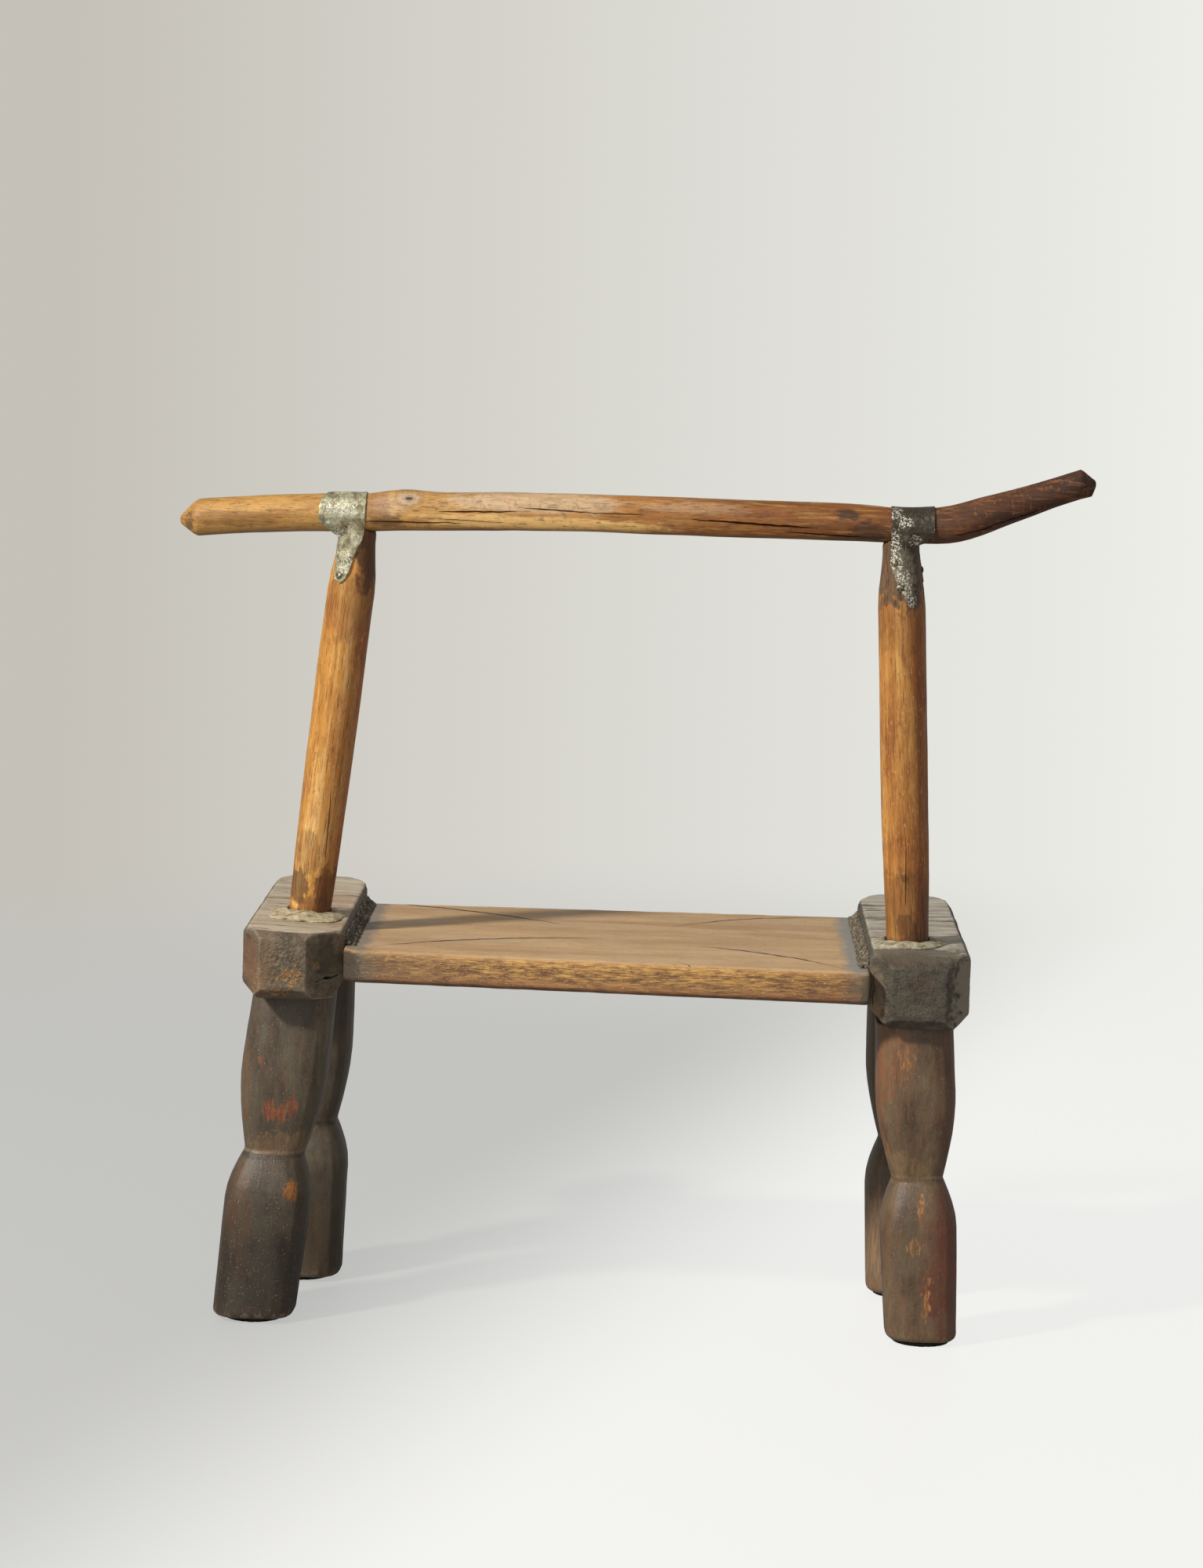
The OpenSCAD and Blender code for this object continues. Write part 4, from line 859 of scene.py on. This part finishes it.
legLook = {
    "arris": "#8f8470", "foot": "#6b4c33", "lip": "#a0886a", "crease": "#2a221b", "red": "#64392a",
    "speck": "#a8916c", "waist": 111.5,
    "skin": {"voxel": 1.2, "smooth": 2, "dents": [
        {"size": 30, "depth": 0.9, "stretch": (1, 1, 2), "shift": 31},
        {"size": 6, "depth": 0.3, "stretch": (1, 1, 3), "shift": 9},
    ]},
}
legs = {
    # tones are dark, base and light; the value after them scales them under the waist, a painted shadow
    # under 1 and painted light over 1; foot, crease and speckled are how bare the foot, how dark the
    # painted shade in the waist's crease and how strong the pale specks are
    # streaky and rubs have a centre, half size and share; streaky ones have a tone, and a rub may have two
    "left_rear_leg": {
        "name": "leftRearLeg", "seed": 1, "tones": ("#463a2c", "#53483a", "#5c5341"), "below": 0.38,
        "foot": 0.15, "bare": ("#6e4c38", 0.35),
        "crease": 0.5, "speckled": 0.5, "rubbed": ("#7a3823", "#9c5a30"),
        "streaky": [
            ((-244, -120, 66), (10, 20, 44), 0.6, "#70492f"),
            ((-190, -112, 170), (8, 20, 40), 0.7, "#6f6552"),
            ((-246, -116, 158), (7, 20, 40), 0.6, "#735439"),
            ((-216, -112, 118), (24, 20, 9), 0.6, "#86694a"),
            ((-188, -108, 206), (12, 24, 34), 0.7, "#7b6c5b"),
        ],
        "rubs": [
            ((-227, -122, 141), (5, 12, 8), 0.7), ((-219, -122, 139), (4, 12, 7), 0.7),
            ((-212, -122, 144), (3.4, 12, 8), 0.65), ((-234, -120, 174), (2.2, 12, 3), 0.45),
            ((-211, -126, 88), (5, 14, 7), 0.75, "#84481f", "#b9782c"),
        ],
    },
    "left_front_leg": {
        "name": "leftFrontLeg", "seed": 2, "tones": ("#4e4335", "#5c5143", "#655c4a"), "below": 0.68,
        "foot": 0.15, "bare": ("#6e4c38", 0.2), "crease": 0.5, "speckled": 0.2,
        "streaky": [((-204, 4, 34), (14, 30, 30), 0.5, "#6a5238")], "rubs": [],
    },
    "right_rear_leg": {
        "name": "rightRearLeg", "seed": 5, "tones": ("#554231", "#6a5541", "#74624a"), "below": 1.1,
        "foot": 0.5, "bare": ("#85583a", 0.4),
        "crease": 0.2, "speckled": 0.55, "rubbed": ("#87542d", "#bd8a58"),
        "redSide": (213, 0.45),  # from this X in mm outwards, and its share
        "streaky": [
            ((184, -112, 192), (16, 24, 34), 0.7, "#966643"),
            ((172, -104, 164), (7, 22, 44), 0.7, "#8c5839"),
            ((196, -114, 66), (12, 24, 44), 0.6, "#5b5040"),
            ((218, -100, 56), (15, 40, 52), 0.9, "#753b29"),
            ((190, -112, 119), (22, 20, 12), 0.6, "#937551"),
            ((180, -112, 60), (14, 20, 50), 0.4, "#755b41"),
        ],
        "rubs": [
            ((204, -116, 92), (3, 14, 15), 0.75), ((200, -116, 68), (7, 14, 8), 0.65),
            ((210, -116, 34), (4, 14, 22), 0.75), ((190, -114, 190), (7, 14, 14), 0.75),
            ((186, -114, 212), (5, 14, 8), 0.65), ((176, -110, 128), (6, 14, 12), 0.5),
        ],
    },
    "right_front_leg": {
        "name": "rightFrontLeg", "seed": 9, "tones": ("#4e4133", "#5e5142", "#695d4a"), "below": 1.5,
        "foot": 0.5, "bare": ("#8a5a38", 0.3), "crease": 0.4, "speckled": 0.4, "redSide": (217, 0.3),
        "streaky": [((182, 20, 36), (16, 34, 46), 0.8, "#8d6f55")], "rubs": [],
    },
}


def handledLeg(look):
    seed = look["seed"]
    title = look["name"].replace("Leg", " leg, carved wood with dark patina")
    material, tree, surface, place = newMaterial(title)
    parts = add(tree, "SeparateXYZ", {0: place})
    clouds = streaks(tree, place, (13, 13, 28), seed, 5, 0.65)
    colour = add(tree, "ValToRGB", {0: clouds}, list(zip((0.36, 0.5, 0.64), look["tones"])))
    fibres = streaks(tree, place, (1.1, 1.1, 14), seed + 1, 5, 0.74)
    colour = shade(tree, colour, fibres, [(0.34, 0.72), (0.48, 0.95), (0.62, 1.04)], 0.8)
    # bare brown streaks down the grain, and places full of finer ones
    bareTone, bareShare = look["bare"]
    colour = glaze(tree, colour, streaks(tree, place, (4, 4, 26), seed + 2, 5, 0.7),
                   0.54, 0.60, bareShare, bareTone)
    threads = add(tree, "MapRange",
                  {0: streaks(tree, place, (1.6, 1.6, 16), seed + 12, 4, 0.7), 1: 0.45, 2: 0.58})
    threaded = add(tree, "MapRange", {0: threads, 1: 0, 2: 1, 3: 0.35, 4: 1})
    for spot in look["streaky"]:
        colour = paint(tree, place, colour, spot, seed + 13, 0.7, (7, 7, 18), threaded)
    if "redSide" in look:
        outer, share = look["redSide"]
        side = wavy(tree, place, (6, 6, 26), seed + 3, 0.024, parts.outputs["X"], 5, 0.65)
        colour = glaze(tree, colour, side, (outer + 8) * mm, (outer + 18) * mm, share, legLook["red"])
    for number, (centre, half, share, *own) in enumerate(look["rubs"]):
        deep, fresh = own or look["rubbed"]
        tone = add(tree, "MixRGB", {"Fac": threads, "Color1": deep, "Color2": fresh})
        colour = paint(tree, place, colour, (centre, half, share, tone),
                       seed + 4 + number, 1.0, (2.2, 2.2, 5))
    # the colour is scaled under the waist: painted shadow on the left legs, painted light on the right ones
    lower = add(tree, "MapRange", {0: parts.outputs["Z"], 1: 0.050, 2: 0.108, 3: look["below"], 4: 1})
    colour = add(tree, "VectorMath", {0: colour, "Scale": lower}, operation="SCALE")
    # the waist's crease: a pale lip 3 mm above a dark line, which is painted shade in the crease
    height = wavy(tree, place, (9, 9, 9), seed + 14, 0.004, parts.outputs["Z"], 3)
    line = awayFrom(tree, height, legLook["waist"] * mm)
    dark = add(tree, "MapRange", {0: line, 1: 0.0006, 2: 0.0018, 3: look["crease"], 4: 0})
    lip = awayFrom(tree, height, (legLook["waist"] + 3) * mm)
    lip = add(tree, "MapRange", {0: lip, 1: 0.0004, 2: 0.0016, 3: 0.45, 4: 0})
    lip = add(tree, "Math", {0: lip, 1: add(tree, "MapRange", {0: clouds, 1: 0.4, 2: 0.55})},
              operation="MULTIPLY")
    colour = add(tree, "MixRGB", {"Fac": lip, "Color1": colour, "Color2": legLook["lip"]})
    colour = add(tree, "MixRGB", {"Fac": dark, "Color1": colour, "Color2": legLook["crease"]})
    # the foot is rubbed bare, and so are the arrises
    low = wavy(tree, place, (5, 5, 12), seed + 5, 0.03, parts.outputs["Z"])
    colour = glaze(tree, colour, low, 0.034, 0.017, look["foot"], legLook["foot"])
    colour = glaze(tree, colour, low, 0.0215, 0.0185, 0.3, legLook["arris"])
    sharp = add(tree, "NewGeometry").outputs["Pointiness"]
    uneven = add(tree, "Math", {0: clouds, 1: 0.04, 2: sharp}, operation="MULTIPLY_ADD")
    colour = glaze(tree, colour, uneven, 0.545, 0.58, 0.55, legLook["arris"])
    colour = glaze(tree, colour, sharp, 0.48, 0.43, 0.7, legLook["crease"])
    specks = streaks(tree, place, (1.0, 1.0, 1.2), seed + 6, 1)
    colour = glaze(tree, colour, specks, 0.68, 0.72, look["speckled"], legLook["speck"])
    gloss = add(tree, "MapRange", {0: clouds, 1: 0.3, 2: 0.7, 3: 0.34, 4: 0.54})
    grit = streaks(tree, place, (1.2, 1.2, 2.4), seed + 7, 3, 0.7)
    relief = add(tree, "Math", {0: grit, 1: 0.7, 2: fibres}, operation="MULTIPLY_ADD")
    relief = add(tree, "Math", {0: dark, 1: -2.0, 2: relief}, operation="MULTIPLY_ADD")
    dress(tree, surface, colour, gloss, relief, 0.35, 0.0008)
    return material


for node, look in legs.items():
    makePiece(node, look["name"], legLook["skin"], handledLeg(look))
print("stage: legs ready")


# Straps: strips cut from old tinned sheet, dented over the wood: dull with tarnish, bright where scratched

strapLook = {
    "bright": "#e6e3d2", "rim": "#b9b4a0", "metal": 0.35,
    "skin": {"voxel": 0.36, "smooth": 1, "dents": [
        {"size": 9, "depth": 0.35, "shift": 5},
        {"size": 2.5, "depth": 0.12, "shift": 8},
    ]},
}
straps = {
    # tones run from rust to bare tin, areas are plain patches and painted sheen, shiny ones are full of
    # bright specks
    "left_strap": {
        "name": "leftStrap", "seed": 2, "tones": ("#5c5240", "#9a9375", "#c0bc9b", "#e2dec4"),
        "rust": "#7a5436",
        "areas": [
            # the first area is a painted shade along the top, the last a band of painted sheen across the
            # middle
            ((-178, -112, 554), (26, 26, 5), 0.75, "#5f5a4a"),
            ((-171, -120, 540), (3, 20, 8), 0.65, "#7a6248"),
            ((-183, -124, 528), (8, 16, 6), 0.35, "#8a7458"),
            ((-190, -124, 536), (12, 20, 5), 0.5, "#c6c3ac"),
        ],
        "shiny": [((-165, -124, 541), (5, 20, 12), 0.8), ((-186, -122, 500), (7, 20, 10), 0.85),
                  ((-193, -122, 522), (5, 20, 8), 0.6), ((-190, -124, 540), (10, 20, 7), 0.6)],
    },
    "right_strap": {
        "name": "rightStrap", "seed": 6, "tones": ("#382f25", "#473e32", "#564d3f", "#716957"),
        "rust": "#40342a",
        "areas": [
            ((186, -124, 545), (9, 26, 10), 0.75, "#453e33"),
            ((178, -100, 553), (30, 30, 5), 0.5, "#463d33"),
            ((172, -126, 508), (12, 30, 20), 0.6, "#8a7f6a"),
        ],
        "shiny": [((167, -128, 549), (6, 20, 4), 1.0), ((174, -128, 543), (5, 20, 4), 1.0),
                  ((181, -128, 532), (4, 20, 4), 0.8), ((167, -128, 530), (5, 20, 9), 0.95),
                  ((168, -126, 514), (6, 20, 12), 1.0), ((176, -126, 503), (4, 20, 10), 0.9),
                  ((178, -126, 492), (6, 20, 6), 0.9)],
    },
}


def tarnishedTin(look):
    seed = look["seed"]
    title = look["name"].replace("Strap", " strap, tarnished tinned sheet")
    material, tree, surface, place = newMaterial(title)
    clouds = streaks(tree, place, (6, 6, 6), seed, 6, 0.68)
    colour = add(tree, "ValToRGB", {0: clouds}, list(zip((0.34, 0.46, 0.56, 0.66), look["tones"])))
    for spot in look["areas"]:
        colour = paint(tree, place, colour, spot, seed + 2, 0.8, (3, 3, 3))
    colour = glaze(tree, colour, streaks(tree, place, (2.4, 2.4, 2.4), seed + 1, 4, 0.7),
                   0.58, 0.64, 0.8, look["rust"])
    # rubbed up and down, which leaves faint upright lines
    colour = shade(tree, colour, streaks(tree, place, (1.0, 1.0, 14), seed + 8, 3),
                   [(0.36, 0.72), (0.52, 1.0)], 0.8)
    # bright specks where the tin is rubbed bare, a millimetre across
    specks = add(tree, "MapRange",
                 {0: streaks(tree, place, (1.3, 1.3, 1.3), seed + 6, 3, 0.7), 1: 0.50, 2: 0.56})
    for spot in look["shiny"]:
        colour = paint(tree, place, colour, (*spot, strapLook["bright"]), seed + 7, 0.9, (2.4, 2.4, 2.4),
                       specks)
    scratches = streaks(tree, place, (0.7, 0.7, 9), seed + 3, 2)
    colour = glaze(tree, colour, scratches, 0.66, 0.70, 0.4, strapLook["bright"])
    sharp = add(tree, "NewGeometry").outputs["Pointiness"]
    colour = glaze(tree, colour, sharp, 0.56, 0.64, 0.5, strapLook["rim"])
    surface.inputs["Metallic"].default_value = strapLook["metal"]
    gloss = add(tree, "MapRange",
                {0: streaks(tree, place, (3, 3, 3), seed + 4, 4), 1: 0.3, 2: 0.7, 3: 0.26, 4: 0.55})
    dress(tree, surface, colour, gloss, streaks(tree, place, (4, 4, 4), seed + 5, 5, 0.65), 0.6, 0.0014)
    return material


for node, look in straps.items():
    makePiece(node, look["name"], strapLook["skin"], tarnishedTin(look))


# Nails: dull steel with hammered heads, which glint in small facets

nailLook = {
    "tones": [(0.36, "#3a2f26"), (0.52, "#8b8570"), (0.66, "#d2cdb6")], "metal": 0.75, "roughness": 0.42,
    "skin": {"voxel": 0.26, "smooth": 1, "dents": [{"size": 2.5, "depth": 0.2, "shift": 4}]},
}


def nailSteel():
    material, tree, surface, place = newMaterial("nails, dull hammered steel")
    clouds = streaks(tree, place, (1.6, 1.6, 1.6), 3, 4, 0.7)
    surface.inputs["Metallic"].default_value = nailLook["metal"]
    colour = add(tree, "ValToRGB", {0: clouds}, nailLook["tones"])
    dress(tree, surface, colour, nailLook["roughness"], clouds, 0.5, 0.0006)
    return material


steel = nailSteel()
for side in ("left", "right"):
    makePiece(side + "_strap_nails", side + "StrapNails", nailLook["skin"], steel)
print("stage: straps and nails ready")


# Fillers: pale chalky putty pressed round the foot of each post, and dark dull resin with paler crumbs
# along the seat's ends

fillers = {
    # lump is a size in mm with the noise's detail and roughness; tones run from the hollows to the crumbs
    "post": {
        "title": " post filler, dried putty", "slot": "putty", "roughness": 0.62,
        "lump": ((7, 5, 4), 6, 0.72), "fine": 1.4, "strength": 0.6, "depth": 0.0008,
        "left": [(0.34, "#564a3a"), (0.48, "#b0a080"), (0.64, "#d6caab")],
        "right": [(0.34, "#4b4438"), (0.48, "#9c927b"), (0.64, "#cfc5ab")],
        "hollow": (0.85, "#3b3024"),
        "skin": {"voxel": 0.5, "smooth": 1, "dents": [
            {"size": 7, "depth": 1.3, "stretch": (1.6, 1, 1), "shift": 6},
            {"size": 2.2, "depth": 0.6, "stretch": (1.6, 1, 1), "shift": 1},
        ]},
    },
    "seat": {
        "title": " seat filler, dark crumbly resin", "slot": "dark_filler", "roughness": 0.6,
        "lump": ((2.6, 2.6, 2.6), 4, 0.75), "fine": 1.3, "strength": 0.7, "depth": 0.001,
        "left": [(0.38, "#1d1915"), (0.48, "#423930"), (0.57, "#6f6454"), (0.67, "#9c907b")],
        "right": [(0.38, "#2c251e"), (0.48, "#5e5446"), (0.57, "#877b67"), (0.67, "#b9ac94")],
        "hollow": (0.9, "#14110e"),
        "skin": {"voxel": 0.7, "smooth": 1, "dents": [
            {"size": 5, "depth": 2.6, "shift": 6},
            {"size": 1.8, "depth": 2.0, "shift": 14},
        ]},
    },
}


def driedFiller(look, side, seed):
    material, tree, surface, place = newMaterial(side + look["title"])
    grain, detail, rough = look["lump"]
    colour = add(tree, "ValToRGB", {0: streaks(tree, place, grain, seed, detail, rough)}, look[side])
    sharp = add(tree, "NewGeometry").outputs["Pointiness"]
    # painted shade: darker in the hollows of the lumpy skin
    colour = glaze(tree, colour, sharp, 0.49, 0.42, *look["hollow"])
    fine = streaks(tree, place, [look["fine"]] * 3, seed + 1, 4, 0.7)
    dress(tree, surface, colour, look["roughness"], fine, look["strength"], look["depth"])
    return material


for side, seed in (("left", 4), ("right", 7)):
    for where, look in fillers.items():
        name = side + where.title() + "Filler"
        makePiece(side + "_" + where + "_filler", name, look["skin"],
                  driedFiller(look, side, seed))
print("stage: fillers ready")


# Pads: thin dark felt under each foot, with no shine

padLook = {"tones": [(0.35, "#1b1612"), (0.6, "#3a2c22")], "skin": {"voxel": 0.8, "smooth": 0, "dents": []}}


def darkFelt():
    material, tree, surface, place = newMaterial("foot pads, dark felt")
    fluff = streaks(tree, place, (1.2, 1.2, 1.2), 2, 4, 0.7)
    dress(tree, surface, add(tree, "ValToRGB", {0: fluff}, padLook["tones"]), 0.95, fluff, 0.6, 0.0006)
    return material


felt = darkFelt()
for side in ("left", "right"):
    for row in ("rear", "front"):
        name = side + row.title() + "Pad"
        makePiece(side + "_" + row + "_pad", name, padLook["skin"], felt)
print("stage: pads ready")
